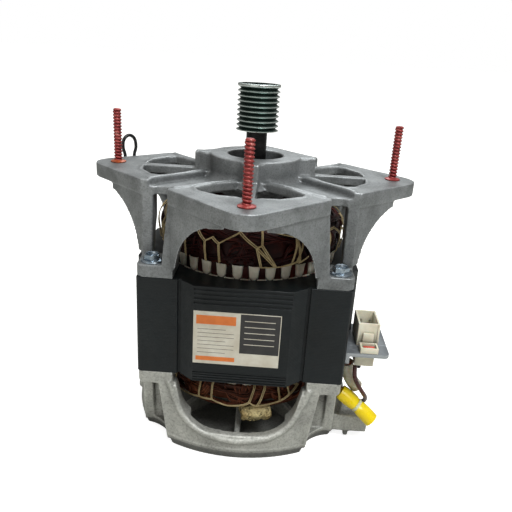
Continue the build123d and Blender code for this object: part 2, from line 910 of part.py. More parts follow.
def rotor_cage():
    """Cast end rings with fan blades, one on each face of the rotor."""
    rings = []
    for level, sign in ((stator_top, 1), (stator_bottom, -1)):
        far = level + sign * end_ring_height
        tip = far + sign * fan_blade_height
        ring = tube(end_ring_outer, end_ring_inner, min(level, far), max(level, far))
        middle = (fan_blade_inner + end_ring_outer) / 2
        blade = Pos(middle, 0, (level + tip) / 2) * Box(
            end_ring_outer - fan_blade_inner, fan_blade_thickness, abs(tip - level)
        )
        blade &= tube(end_ring_outer, end_ring_inner, min(level, tip), max(level, tip))
        for index in range(fan_blade_count):
            ring += Rot(0, 0, index * 360 / fan_blade_count) * blade
        rings.append(ring)
    return rings


def pulley():
    """Multi-groove drive pulley with a plain rim on top."""
    top = pulley_base_level + pulley_height
    bore = shaft_radius + pulley_fit
    points = [(bore, pulley_base_level), (pulley_radius, pulley_base_level)]
    first = top - pulley_rim_height - groove_count * groove_pitch
    for index in range(groove_count):
        low = first + index * groove_pitch
        points += [(pulley_radius, low), (pulley_radius - groove_depth, low + groove_pitch / 2)]
    points += [(pulley_radius, first + groove_count * groove_pitch), (pulley_radius, top), (bore, top)]
    return profile_ring(points)


def faceted_ball(radius):
    """Ball with flat facets, no point of it outside the radius."""
    side = radius * math.sqrt(2)
    cube = Box(side, side, side)
    across = radius * 2 * math.cos(math.radians(ball_facet_angle))
    upright = Rot(0, 0, 45) * Box(across / math.sqrt(2), across / math.sqrt(2), radius * 2)
    return cube & upright


def bearing(bottom):
    """Sealed ball bearing as an outer ring with its two shields, an inner ring and the balls."""
    top = bottom + bearing_width
    middle = (bottom + top) / 2
    shield_inner = bearing_inner_ring_outer + shield_gap
    outer = profile_ring([
        (bearing_outer_radius, bottom),
        (bearing_outer_radius, top),
        (shield_inner, top),
        (shield_inner, top - shield_thickness),
        (bearing_outer_ring_inner, top - shield_thickness),
        (bearing_outer_ring_inner, bottom + shield_thickness),
        (shield_inner, bottom + shield_thickness),
        (shield_inner, bottom),
    ])
    inner = tube(bearing_inner_ring_outer, shaft_radius + bearing_shaft_fit, bottom, top)
    ball_circle = (bearing_outer_ring_inner + bearing_inner_ring_outer) / 2
    ball_radius = (bearing_outer_ring_inner - bearing_inner_ring_outer) / 2 - ball_clearance
    ball = Pos(ball_circle, 0, middle) * faceted_ball(ball_radius)
    balls = Compound([Rot(0, 0, index * 360 / ball_count) * ball for index in range(ball_count)])
    return outer, inner, balls


def wave_washer():
    """Spring washer between the hub lip and the upper bearing."""
    bottom = upper_bearing_top + wave_washer_gap
    return tube(
        bearing_outer_radius - wave_washer_outer_gap,
        wave_washer_inner_radius,
        bottom,
        bottom + wave_washer_thickness,
    )


# Fasteners

def through_bolt(x, y):
    """Flanged hexagon bolt down through a corner of the stack."""
    seat = stator_top + upper_pad_thickness
    head = Pos(0, 0, seat + bolt_flange_thickness) * extrude(
        RegularPolygon(bolt_head_flats / 2, 6, major_radius=False), bolt_head_height
    )
    flange = rod(bolt_flange_radius, seat, seat + bolt_flange_thickness)
    shank = rod(bolt_radius, stator_bottom - lower_pad_thickness + bolt_end_gap, seat + overrun)
    return Pos(x, y, 0) * (head + flange + shank)


def mounting_stud():
    """Stud of the -Y ear: thread above a flat collar and a press shank below it."""
    points = [
        (0, -stud_length_down),
        (stud_shank_radius, -stud_length_down),
        (stud_shank_radius, 0),
        (stud_collar_radius, 0),
        (stud_collar_radius, stud_collar_height),
        (stud_radius, stud_collar_height),
        (stud_radius, stud_length_up - stud_tip_chamfer),
        (stud_radius - stud_tip_chamfer, stud_length_up),
        (0, stud_length_up),
    ]
    return Pos(0, -stud_circle_radius, 0) * profile_ring(points)


# Connector group

def bracket_plan():
    """Plan of the connector bracket's shelf, cut back round the stator panel."""
    inner = half_stator + bracket_gap
    panel_side = panel_face + bracket_gap
    face = polygon([
        (inner, bracket_near),
        (bracket_reach, bracket_near),
        (bracket_reach, bracket_far),
        (panel_side, bracket_far),
        (panel_side, -panel_half_width),
        (inner, -panel_half_width - panel_flank - weld_groove_width),
    ])
    right = face.vertices().group_by(Axis.X)[-1]
    return fillet(right, bracket_corner_radius)


def header_span():
    """Footprint of the connector header as X and Y spans."""
    return (header_inner, header_inner + header_width), (header_near, header_near + header_depth)


def shrink(span, margin):
    """Span drawn in by a margin at both ends."""
    return span[0] + margin, span[1] - margin


def connector_bracket():
    """Bent sheet shelf held against the side of the stator."""
    top = stator_top - bracket_top_drop
    body = plate(bracket_plan(), top - bracket_thickness, top)
    inner = half_stator + bracket_gap
    body += block(
        (inner, inner + bracket_thickness),
        (bracket_near, bracket_tab_far),
        (top - bracket_tab_depth, top),
    )
    x_span, y_span = header_span()
    margin = header_neck_margin - header_gap
    window = (top - bracket_thickness - overrun, top + overrun)
    return body - block(shrink(x_span, margin), shrink(y_span, margin), window)


def connector_header():
    """Open-topped header with a neck that passes through the shelf."""
    x_span, y_span = header_span()
    shelf = stator_top - bracket_top_drop
    top = shelf + header_height
    body = block(x_span, y_span, (shelf, top))
    body += block(
        shrink(x_span, header_neck_margin),
        shrink(y_span, header_neck_margin),
        (shelf - bracket_thickness, shelf + header_floor),
    )
    hollow = (shelf + header_floor, top + overrun)
    body -= block(shrink(x_span, header_wall), shrink(y_span, header_wall), hollow)
    for place in (x_span[0], x_span[1] - header_rib_width):
        body += block(
            (place, place + header_rib_width),
            (y_span[0] - header_rib_projection, y_span[0]),
            (shelf, top),
        )
    side = terminal_size + header_gap
    low = shelf - bracket_thickness - overrun
    return body - [rod_square(x, y, side, low, top) for x, y in terminal_places()]


def rod_square(x, y, side, bottom, top):
    """Square upright bar."""
    return Pos(x, y, (bottom + top) / 2) * Box(side, side, top - bottom)


def terminal_places():
    """Grid of terminals inside the header."""
    x_span, y_span = header_span()
    inner_x = shrink(x_span, header_wall)
    inner_y = shrink(y_span, header_wall)
    places = []
    pitch_x = (inner_x[1] - inner_x[0]) / terminal_rows
    pitch_y = (inner_y[1] - inner_y[0]) / terminal_columns
    for column in range(terminal_columns):
        for row in range(terminal_rows):
            x = inner_x[0] + pitch_x / 2 + pitch_x * row
            places.append((x, inner_y[0] + pitch_y / 2 + pitch_y * column))
    return places


def connector_terminals():
    """Tin-plated pins standing in the header."""
    shelf = stator_top - bracket_top_drop
    bottom = shelf - bracket_thickness
    top = shelf + header_floor + terminal_height
    return Compound([rod_square(x, y, terminal_size, bottom, top) for x, y in terminal_places()])


def header_latch():
    """Raised latch on the front face of the header."""
    x_span, y_span = header_span()
    middle = (x_span[0] + x_span[1]) / 2
    shelf = stator_top - bracket_top_drop
    return block(
        (middle - latch_width / 2, middle + latch_width / 2),
        (y_span[0] - latch_thickness, y_span[0]),
        (shelf + latch_rise, shelf + latch_rise + latch_height),
    )


def connector_plug():
    """Lead side housing below the shelf."""
    x_span, y_span = header_span()
    top = stator_top - bracket_top_drop - bracket_thickness
    body = block(shrink(x_span, plug_margin), shrink(y_span, plug_margin), (top - plug_height, top))
    return fillet(body.edges().group_by(Axis.Z)[0], plug_foot_radius)


def side_socket():
    """Small open socket lying on the shelf in front of the header."""
    x_span, y_span = header_span()
    shelf = stator_top - bracket_top_drop
    middle = (x_span[0] + x_span[1]) / 2
    far = y_span[0] - latch_thickness - socket_near_gap
    outer_x = (middle - socket_width / 2, middle + socket_width / 2)
    outer_y = (far - socket_depth, far)
    body = block(outer_x, outer_y, (shelf, shelf + socket_height))
    hollow = (shelf + socket_wall, shelf + socket_height + overrun)
    return body - block(shrink(outer_x, socket_wall), shrink(outer_y, socket_wall), hollow)


# Leads, sleeves and the wire loop

def hung(places):
    """Places below the plug, from their shares; the drop ends where the tie clears the arm."""
    plug_bottom = stator_top - bracket_top_drop - bracket_thickness - plug_height
    rest = sleeve_radius + tie_gap + tie_thickness + tie_head_height
    drop = plug_bottom - (stator_bottom - arm_drop) - rest
    return [
        (half_stator + bracket_projection * out, half_stator * side, plug_bottom - drop * down - lead_gap)
        for out, side, down in places
    ]


def red_lead():
    """Short end of a lead lying in the side socket."""
    x_span, y_span = header_span()
    middle = (x_span[0] + x_span[1]) / 2
    y = y_span[0] - latch_thickness - socket_near_gap - socket_depth / 2
    z = stator_top - bracket_top_drop + socket_wall + red_lead_radius
    return Pos(middle, y, z) * Rot(0, 90, 0) * Cylinder(red_lead_radius, red_lead_length)


def brown_lead():
    """Lead from the plug behind the yellow sleeve and in through the arch of the lower bell."""
    return cord(hung(brown_lead_route_shares), RegularPolygon(brown_lead_radius, cord_sides), "brown_lead")


def sleeve_axis(share):
    """Plane across the yellow sleeve at a share of its length, its X axis level."""
    start, end = [Vector(*place) for place in hung((sleeve_start_shares, sleeve_end_shares))]
    along = end - start
    level = Vector(-along.Y, along.X, 0)
    return Plane(origin=start + along * share, x_dir=level, z_dir=along)


def lead_sleeve():
    """Short open yellow sleeve."""
    start, end = [Vector(*place) for place in hung((sleeve_start_shares, sleeve_end_shares))]
    ring = Circle(sleeve_radius) - Circle(sleeve_radius - sleeve_wall)
    return extrude(sleeve_axis(0) * ring, (end - start).length)


def cream_sleeve():
    """Bent sleeve from under the connector down behind the yellow one."""
    outer = RegularPolygon(cream_sleeve_radius, cream_sleeve_sides)
    inner = RegularPolygon(cream_sleeve_radius - cream_sleeve_wall, cream_sleeve_sides)
    return cord(hung(cream_sleeve_route_shares), outer - inner, "cream_sleeve")


def sleeve_tie():
    """Cable tie round the yellow sleeve with its lock head over the arm."""
    inner = sleeve_radius + tie_gap
    outer = inner + tie_thickness
    plane = sleeve_axis(tie_place_share)
    band = Cylinder(outer, tie_width) - Cylinder(inner, tie_width + overrun)
    down = -1 if plane.y_dir.Z > 0 else 1
    middle = down * (outer + tie_head_height / 2 - tie_thickness / 2)
    head = Pos(0, middle, 0) * Box(tie_head_length, tie_head_height + tie_thickness, tie_head_width)
    return plane.location * (band + (head - Cylinder(inner, tie_head_width + overrun)))


def loop_plane():
    """Upright plane along the edge of the -X ear where the wire loop stands."""
    lateral, along = ear_tangent()
    corner = Vector(-ear_corner_along, ear_corner_lateral, 0)
    tip = Vector(-along, lateral, 0)
    edge = tip - corner
    outward = Vector(edge.Y, -edge.X, 0).normalized()
    reach = loop_wire_radius + loop_edge_gap
    return Plane(origin=corner + edge * loop_edge_share + outward * reach, x_dir=edge, z_dir=outward)


def wire_loop():
    """Teardrop loop of black wire with both ends in the clip."""
    plane = loop_plane()
    side = 1 if plane.y_dir.Z > 0 else -1
    route = [tuple(plane.from_local_coords((lateral, side * level, 0))) for lateral, level in loop_route]
    return cord(route, RegularPolygon(loop_wire_radius, cord_sides), "wire_loop")


def loop_clip():
    """Small clip on the ear's edge that holds both ends of the wire loop."""
    plane = loop_plane()
    near = loop_wire_radius + loop_edge_gap - seat_gap
    upright = Plane(origin=plane.origin, x_dir=plane.x_dir, z_dir=(0, 0, 1))
    outward = 1 if upright.y_dir.dot(plane.z_dir) > 0 else -1
    top = -clip_top_drop
    place = Pos(0, outward * (clip_depth / 2 - near), top - clip_height / 2)
    body = place * Box(clip_length, clip_depth, clip_height)
    for lateral in (loop_route[0][0], loop_route[-1][0]):
        hole = Cylinder(loop_wire_radius + clip_wire_gap, clip_height + overrun)
        body -= Pos(lateral, 0, top - clip_height / 2) * hole
    return upright.location * body


os.makedirs("parts", exist_ok=True)
save(upper_end_bell(), "upper_end_bell")
save(lower_end_bell(), "lower_end_bell")
save(stator_core(), "stator_core")
save(slot_liners(), "slot_liners")
save(end_turn_core(upper_end_turn_height, 1, stator_top), "upper_winding_core")
save(end_turn_core(lower_end_turn_height, -1, stator_bottom), "lower_winding_core")
save(winding_sides(), "winding_sides")
save(shaft(), "shaft")
save(rotor_core(), "rotor_core")
upper_ring, lower_ring = rotor_cage()
save(upper_ring, "upper_end_ring")
save(lower_ring, "lower_end_ring")
save(pulley(), "pulley")
upper_turns = winding_turns(upper_end_turn_height, 1, stator_top, upper_turn_count, "upper turns")
lower_turns = winding_turns(lower_end_turn_height, -1, stator_bottom, lower_turn_count, "lower turns")
save(upper_turns, "upper_winding_turns")
save(lower_turns, "lower_winding_turns")
save(thermal_protector(), "thermal_protector")
for place, bottom in (("upper", upper_bearing_bottom), ("lower", lower_bearing_bottom)):
    outer_ring, inner_ring, ball_set = bearing(bottom)
    save(outer_ring, f"{place}_bearing_outer_ring")
    save(inner_ring, f"{place}_bearing_inner_ring")
    save(ball_set, f"{place}_bearing_balls")
save(wave_washer(), "wave_washer")
for index, (x_sign, y_sign) in enumerate(corner_signs):
    save(through_bolt(x_sign * bolt_offset, y_sign * bolt_offset), f"through_bolt_{index + 1}")
for index, stud in enumerate(around(mounting_stud())):
    save(stud, f"mounting_stud_{index + 1}")
save(connector_bracket(), "connector_bracket")
save(connector_header(), "connector_header")
save(connector_terminals(), "connector_terminals")
save(header_latch(), "header_latch")
save(connector_plug(), "connector_plug")
save(side_socket(), "side_socket")
save(red_lead(), "red_lead")
save(brown_lead(), "brown_lead")
save(lead_sleeve(), "lead_sleeve")
save(cream_sleeve(), "cream_sleeve")
save(sleeve_tie(), "sleeve_tie")
save(wire_loop(), "wire_loop")
save(loop_clip(), "loop_clip")
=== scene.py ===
import math
import random

import bmesh
import bpy
from mathutils import Matrix, Vector, noise
from mathutils.bvhtree import BVHTree


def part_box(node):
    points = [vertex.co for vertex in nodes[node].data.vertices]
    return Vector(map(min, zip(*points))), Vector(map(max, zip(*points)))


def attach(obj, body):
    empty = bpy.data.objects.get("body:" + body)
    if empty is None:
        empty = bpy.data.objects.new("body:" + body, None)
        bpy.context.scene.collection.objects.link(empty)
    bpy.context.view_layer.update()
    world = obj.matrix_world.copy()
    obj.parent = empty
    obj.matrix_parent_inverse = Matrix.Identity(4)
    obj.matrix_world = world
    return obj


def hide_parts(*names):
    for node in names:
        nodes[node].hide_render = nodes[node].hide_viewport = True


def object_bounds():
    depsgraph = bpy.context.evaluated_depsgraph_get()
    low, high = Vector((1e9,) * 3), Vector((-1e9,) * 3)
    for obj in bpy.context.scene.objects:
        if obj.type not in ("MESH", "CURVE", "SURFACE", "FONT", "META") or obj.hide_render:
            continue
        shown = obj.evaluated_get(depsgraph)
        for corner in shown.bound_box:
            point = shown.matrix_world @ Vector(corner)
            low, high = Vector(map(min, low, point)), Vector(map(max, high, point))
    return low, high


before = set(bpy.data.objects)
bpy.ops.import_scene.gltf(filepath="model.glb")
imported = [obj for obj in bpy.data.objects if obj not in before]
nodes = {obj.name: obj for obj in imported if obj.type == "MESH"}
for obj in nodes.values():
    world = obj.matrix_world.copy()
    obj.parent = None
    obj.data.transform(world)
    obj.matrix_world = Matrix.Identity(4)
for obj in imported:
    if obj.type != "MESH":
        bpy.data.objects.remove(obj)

cad_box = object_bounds()
MM = 0.001
MERGE = 0.02 * MM
QUARTERS = (0, 90, 180, 270)


# Levels and sizes that the dressing shares with the frame, in millimetres

def box_mm(node):
    """Low and high corner of a node of the frame."""
    low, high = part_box(node)
    return low / MM, high / MM


STATOR_LOW, STATOR_HIGH = box_mm("stator_core")
STATOR_TOP = STATOR_HIGH.z
STATOR_BOTTOM = STATOR_LOW.z
PANEL_FACE = STATOR_HIGH.y
TURN_RADIUS = box_mm("upper_winding_turns")[1].x


# Colours, written as the shades seen on the motor

def shade(red, green, blue):
    """Linear colour from the shade as seen, 0 to 255."""
    linear = []
    for value in (red, green, blue):
        part = value / 255
        linear.append(part / 12.92 if part <= 0.04045 else ((part + 0.055) / 1.055) ** 2.4)
    return (*linear, 1.0)


# Node tools for the finishes

class Finish:
    """A procedural finish that reads Object coordinates."""

    def __init__(self, name, colour, roughness, metallic=0.0):
        self.material = bpy.data.materials.new(name)
        self.material.use_nodes = True
        self.material.diffuse_color = colour
        self.tree = self.material.node_tree
        self.shader = self.tree.nodes["Principled BSDF"]
        self.fixed("Base Color", colour)
        self.fixed("Roughness", roughness)
        self.fixed("Metallic", metallic)
        self.place = self.node("ShaderNodeTexCoord").outputs["Object"]

    def fixed(self, socket, value):
        self.shader.inputs[socket].default_value = value

    def node(self, kind, inputs=None, **settings):
        """New node; its inputs are numbers, colours or other nodes' outputs."""
        made = self.tree.nodes.new(kind)
        for key, value in settings.items():
            setattr(made, key, value)
        for socket, value in (inputs or {}).items():
            if isinstance(value, bpy.types.NodeSocket):
                self.tree.links.new(value, made.inputs[socket])
            else:
                made.inputs[socket].default_value = value
        return made

    def stretched(self, x, y, z):
        """Object coordinates scaled apart on each axis."""
        return self.node("ShaderNodeMapping", {"Vector": self.place, "Scale": (x, y, z)}).outputs["Vector"]

    def noise(self, scale, detail=4.0, rough=0.55, place=None):
        inputs = {"Scale": scale, "Detail": detail, "Roughness": rough, "Vector": place or self.place}
        return self.node("ShaderNodeTexNoise", inputs).outputs["Fac"]

    def ramp(self, value, *stops):
        """Colours or shares of grey at stops along a value."""
        made = self.node("ShaderNodeValToRGB", {"Fac": value})
        elements = made.color_ramp.elements
        while len(elements) < len(stops):
            elements.new(0.5)
        for element, (place, colour) in zip(elements, stops):
            element.position = place
            element.color = colour if isinstance(colour, tuple) else (colour, colour, colour, 1.0)
        return made.outputs["Color"]

    def math(self, operation, first, second=0):
        return self.node("ShaderNodeMath", {0: first, 1: second}, operation=operation).outputs["Value"]

    def blend(self, share, first, second, kind="MIX"):
        inputs = {0: share, 6: first, 7: second}
        return self.node("ShaderNodeMix", inputs, data_type="RGBA", blend_type=kind).outputs[2]

    def toned(self, first, second):
        return self.blend(1.0, first, second, "MULTIPLY")

    def painted_corner_shade(self, distance, closed, share, open_at):
        """Painted shade from an occlusion node: white in the open, falling to a share of grey in the corners.
        """
        sky = self.node("ShaderNodeAmbientOcclusion", {"Distance": distance}, samples=6).outputs["AO"]
        return self.ramp(sky, (closed, share), (open_at, 1.0))

    def surface(self, measure):
        """A measure of the surface itself, such as its Normal."""
        return self.node("ShaderNodeNewGeometry").outputs[measure]

    def parts(self, vector):
        return self.node("ShaderNodeSeparateXYZ", {"Vector": vector}).outputs

    def level(self, low, high):
        """Share of the way up between two heights along the shaft."""
        inputs = {"Value": self.parts(self.place)["Z"], "From Min": low, "From Max": high}
        return self.node("ShaderNodeMapRange", inputs).outputs[0]

    def colour(self, value):
        self.tree.links.new(value, self.shader.inputs["Base Color"])

    def roughness(self, value, *stops):
        self.tree.links.new(self.ramp(value, *stops), self.shader.inputs["Roughness"])

    def bump(self, height, strength, distance):
        made = self.node("ShaderNodeBump", {"Height": height, "Strength": strength, "Distance": distance})
        self.tree.links.new(made.outputs["Normal"], self.shader.inputs["Normal"])


def cast_finish(name, dark, light, rough, grain, depth, shade_low_down):
    """As-cast aluminium: mottled and grainy, with painted highlight on its crests and painted shade in its
    corners and low down.
    """
    finish = Finish(name, light, rough, 0.55)
    broad = finish.noise(38, 6, 0.62)
    fine = finish.noise(grain, 5, 0.7)
    mottled = finish.ramp(broad, (0.3, dark), (0.72, light))
    speck = finish.ramp(finish.noise(grain * 1.3, 4, 0.7), (0.34, 0.66), (0.54, 1.0))
    # Mottled and specked metal under painted shade in the corners, from the occlusion node.
    shaded = finish.toned(finish.toned(mottled, speck), finish.painted_corner_shade(0.02, 0.15, 0.42, 0.85))
    crest = finish.surface("Pointiness")
    # Painted shade in the creases: darker where the pointiness finds the surface hollow.
    marks_and_painted_light = finish.toned(shaded, finish.ramp(crest, (0.44, 0.55), (0.5, 0.86), (0.56, 1.0)))
    # Painted highlight: the sharp crests lightened towards near white.
    crest_highlighted = finish.blend(finish.ramp(crest, (0.53, 0.0), (0.59, 0.6)), marks_and_painted_light, shade(226, 228, 228))
    # Painted shade low down: darker towards the bottom, between two levels in metres.
    low, high, share = shade_low_down
    finish.colour(finish.toned(crest_highlighted, finish.ramp(finish.level(low, high), (0.0, share), (1.0, 1.0))))
    finish.roughness(fine, (0.25, rough - 0.1), (0.75, rough + 0.14))
    finish.bump(finish.math("ADD", fine, finish.math("MULTIPLY", broad, 1.6)), 0.5, depth)
    return finish.material


def enamel_finish():
    """Dark blue-grey enamel over the edges of thin laminations."""
    finish = Finish("stator_enamel", shade(12, 18, 20), 0.42)
    wave = finish.node(
        "ShaderNodeTexWave", {"Scale": 260, "Distortion": 0.25, "Detail": 1.0, "Vector": finish.place},
        wave_type="BANDS", bands_direction="Z",
    ).outputs["Fac"]
    base = finish.ramp(finish.noise(22, 5, 0.6), (0.3, shade(4, 9, 11)), (0.7, shade(12, 20, 23)))
    lined = finish.toned(base, finish.ramp(wave, (0.0, 0.82), (0.35, 1.0)))
    cells = finish.node("ShaderNodeTexVoronoi", {"Scale": 210, "Vector": finish.place}).outputs["Distance"]
    specks = finish.ramp(cells, (0.0, shade(96, 104, 108)), (0.045, shade(0, 0, 0)))
    rare = finish.ramp(finish.noise(60, 2, 0.5), (0.66, 0.0), (0.7, 1.0))
    dusted = finish.blend(1.0, lined, specks, "ADD")
    finish.colour(finish.blend(finish.math("MULTIPLY", rare, 0.7), lined, dusted))
    finish.roughness(finish.noise(90, 4, 0.6), (0.3, 0.4), (0.7, 0.6))
    finish.fixed("Specular IOR Level", 0.36)
    finish.bump(finish.math("ADD", wave, finish.noise(400, 3, 0.6)), 0.35, 0.0002)
    return finish.material


def varnish_finish():
    """Enamelled copper under red-brown varnish, each wire its own shade, with painted shade above on the
    upper turns and painted light below, warmer, on the lower turns.
    """
    finish = Finish("winding_varnish", shade(72, 24, 18), 0.3, 0.15)
    patch = finish.noise(55, 4, 0.6)
    wire = finish.noise(420, 2, 0.5)
    # The darker palette above is painted shade; the lighter, warmer one below is painted light.
    above = finish.ramp(patch, (0.3, shade(34, 10, 9)), (0.55, shade(66, 20, 16)), (0.78, shade(112, 44, 26)))
    below = finish.ramp(
        patch, (0.3, shade(76, 38, 26)), (0.55, shade(124, 68, 46)), (0.78, shade(168, 104, 66)),
    )
    base = finish.blend(finish.level(-0.135, -0.06), below, above)
    strand = finish.ramp(finish.surface("Random Per Island"), (0.0, 0.22), (0.5, 0.5), (1.0, 1.0))
    drawn = finish.toned(finish.toned(base, strand), finish.ramp(wire, (0.3, 0.6), (0.6, 1.0)))
    # Painted shade between the wires, from the occlusion node.
    finish.colour(finish.toned(drawn, finish.painted_corner_shade(0.0025, 0.15, 0.2, 0.75)))
    finish.roughness(finish.noise(120, 3, 0.6), (0.3, 0.34), (0.7, 0.6))
    finish.fixed("Specular IOR Level", 0.14)
    finish.fixed("Coat Weight", 0.03)
    finish.fixed("Coat Roughness", 0.2)
    finish.bump(wire, 0.2, 0.0003)
    return finish.material


def plated_finish(name, colour, stained, rough, metallic=1.0):
    """Bright plated steel with a light stain and fine turning marks."""
    finish = Finish(name, colour, rough, metallic)
    finish.colour(finish.ramp(finish.noise(130, 4, 0.6), (0.35, stained), (0.62, colour)))
    turned = finish.noise(60, 3, 0.6, finish.stretched(1, 1, 60))
    finish.roughness(turned, (0.3, rough * 0.7), (0.7, rough * 1.5))
    finish.bump(turned, 0.12, 0.0001)
    return finish.material


def ribbed_finish():
    """Zinc on the belt ribs, greenish, with painted highlight on the crests and painted shade down in the
    grooves.
    """
    finish = Finish("pulley_zinc", shade(196, 204, 200), 0.22, 1.0)
    sides = finish.parts(finish.place)
    squares = [finish.math("MULTIPLY", sides[axis], sides[axis]) for axis in ("X", "Y")]
    reach = finish.math("SQRT", finish.math("ADD", *squares))
    share = finish.math("DIVIDE", finish.math("SUBTRACT", reach, 0.0136), 0.0025)
    # Colour by depth between the ribs: bright crests are painted highlight, dark grooves painted shade.
    finish.colour(finish.ramp(
        share, (0.0, shade(30, 42, 40)), (0.5, shade(92, 112, 106)), (0.92, shade(214, 222, 218)),
    ))
    finish.roughness(share, (0.0, 0.5), (0.9, 0.2))
    return finish.material


def coated_thread_finish(dark, middle, marks_and_painted_light):
    """Thread coating with random pale patches, partly rubbed off and partly painted highlight, and painted
    shade in the thread roots.
    """
    finish = Finish("stud_coating", middle, 0.42, 0.25)
    # The palest colour stands for rubbed-off coating and for painted highlight.
    base = finish.ramp(finish.noise(240, 4, 0.65), (0.3, dark), (0.58, middle), (0.84, marks_and_painted_light))
    # Painted shade in the roots of the thread, from the occlusion node.
    finish.colour(finish.toned(base, finish.painted_corner_shade(0.002, 0.2, 0.2, 0.8)))
    finish.bump(finish.noise(900, 3, 0.6), 0.3, 0.0001)
    return finish.material


def oxide_finish():
    """Dark oxide and oil on the shaft."""
    finish = Finish("shaft_oxide", shade(30, 30, 32), 0.35, 0.8)
    finish.colour(finish.ramp(finish.noise(150, 4, 0.6), (0.3, shade(16, 16, 18)), (0.75, shade(52, 50, 50))))
    finish.roughness(finish.noise(80, 4, 0.6, finish.stretched(1, 1, 20)), (0.3, 0.22), (0.7, 0.5))
    finish.bump(finish.noise(500, 3, 0.6), 0.15, 0.0001)
    return finish.material


def moulded_finish(name, colour, aged, rough=0.42, clear=0.0, hollow_shade=(0.005, 0.6)):
    """Moulded or extruded plastic, slightly aged and uneven, with painted shade where it is hollow."""
    finish = Finish(name, colour, rough)
    base = finish.ramp(finish.noise(70, 4, 0.6), (0.35, aged), (0.7, colour))
    # Painted shade: occlusion distance and darkest share where the plastic is hollow.
    depth, share = hollow_shade
    finish.colour(finish.toned(base, finish.painted_corner_shade(depth, 0.15, share, 0.8)))
    finish.roughness(finish.noise(240, 3, 0.6), (0.3, rough - 0.08), (0.7, rough + 0.1))
    finish.fixed("Subsurface Weight", clear)
    finish.fixed("Subsurface Scale", 0.003)
    finish.bump(finish.noise(700, 3, 0.6), 0.12, 0.0001)
    return finish.material


def cord_finish():
    """Waxed lacing cord with a fine twist."""
    finish = Finish("lacing_cord", shade(178, 156, 112), 0.7)
    twist = finish.noise(1100, 2, 0.5, finish.stretched(1, 1, 2.2))
    base = finish.ramp(finish.noise(90, 4, 0.6), (0.3, shade(140, 116, 74)), (0.7, shade(196, 178, 134)))
    finish.colour(finish.toned(base, finish.ramp(twist, (0.35, 0.7), (0.6, 1.0))))
    finish.bump(twist, 0.5, 0.0003)
    return finish.material


def bracket_finish():
    """Grey coated sheet, scratched, and lighter on the faces that stand upright: partly a rubbed edge, partly
    painted highlight.
    """
    finish = Finish("bracket_coat", shade(108, 112, 116), 0.4, 0.3)
    base = finish.ramp(finish.noise(45, 5, 0.6), (0.3, shade(92, 96, 100)), (0.72, shade(124, 128, 131)))
    scratch = finish.noise(70, 3, 0.6, finish.stretched(1, 9, 1))
    upward = finish.parts(finish.surface("Normal"))["Z"]
    # Painted highlight: faces that stand upright lightened by which way they face, over a partly rubbed edge.
    edge = finish.math("MULTIPLY", finish.ramp(upward, (0.25, 1.0), (0.75, 0.0)), 0.7)
    # Real scratches, and the painted highlight on upright faces.
    marks_and_painted_light = finish.math("MAXIMUM", finish.ramp(scratch, (0.62, 0.0), (0.7, 0.8)), edge)
    finish.colour(finish.blend(marks_and_painted_light, base, shade(176, 180, 182)))
    finish.roughness(scratch, (0.3, 0.32), (0.7, 0.5))
    finish.bump(finish.noise(500, 3, 0.6), 0.2, 0.0001)
    return finish.material


FINISHES = {
    # The last three numbers of each casting: levels and darkest share of its painted shade low down.
    "upper_cast": cast_finish(
        "upper_cast", shade(112, 115, 115), shade(168, 171, 172), 0.44, 620, 0.00016, (-0.05, 0.0, 0.82),
    ),
    "lower_cast": cast_finish(
        "lower_cast", shade(162, 162, 155), shade(220, 220, 212), 0.55, 460, 0.0004, (-0.1984, -0.1974, 0.5),
    ),
    "flash": plated_finish("mould_flash", shade(190, 190, 184), shade(150, 150, 144), 0.45, 0.4),
    "enamel": enamel_finish(),
    "varnish": varnish_finish(),
    "liner": moulded_finish("liner_film", shade(214, 208, 194), shade(168, 158, 140), 0.4, 0.15),
    "zinc": plated_finish("bolt_zinc", shade(186, 196, 204), shade(120, 136, 150), 0.24),
    "pulley": ribbed_finish(),
    "steel": plated_finish("bearing_steel", shade(190, 190, 192), shade(160, 160, 162), 0.25),
    "rotor": plated_finish("rotor_steel", shade(96, 96, 98), shade(70, 68, 66), 0.4),
    "stud": coated_thread_finish(shade(112, 32, 34), shade(164, 66, 62), shade(216, 162, 150)),
    "stud_foot": coated_thread_finish(shade(140, 62, 30), shade(186, 92, 50), shade(214, 150, 100)),
    "oxide": oxide_finish(),
    "ivory": moulded_finish(
        "ivory_nylon", shade(230, 226, 208), shade(208, 201, 176), 0.4, 0.08, (0.012, 0.42),
    ),
    "bracket": bracket_finish(),
    "yellow": moulded_finish("yellow_vinyl", shade(240, 214, 8), shade(220, 188, 4), 0.3, 0.05),
    "cream": moulded_finish("cream_vinyl", shade(204, 200, 180), shade(160, 154, 132), 0.3, 0.3),
    "tie": moulded_finish("tie_nylon", shade(214, 210, 180), shade(186, 178, 140), 0.3, 0.3),
    "brown": moulded_finish("brown_insulation", shade(84, 30, 24), shade(54, 18, 16), 0.3),
    "red": moulded_finish("red_insulation", shade(206, 62, 26), shade(168, 44, 18), 0.32),
    "black": moulded_finish("black_insulation", shade(22, 22, 23), shade(12, 12, 13), 0.4),
    "cord": cord_finish(),
    "cover": moulded_finish("protector_cover", shade(212, 198, 146), shade(158, 136, 88), 0.6),
    "tin": plated_finish("terminal_tin", shade(205, 203, 196), shade(160, 156, 148), 0.3),
    "sticker_white": moulded_finish("sticker_white", shade(212, 208, 194), shade(190, 182, 164), 0.45),
    "sticker_orange": moulded_finish("sticker_orange", shade(226, 128, 56), shade(206, 108, 44), 0.45),
    "sticker_dark": moulded_finish("sticker_dark", shade(50, 48, 47), shade(36, 35, 36), 0.45),
    "sticker_rule": moulded_finish("sticker_rule", shade(120, 116, 108), shade(98, 94, 88), 0.5),
}


# Mesh tools

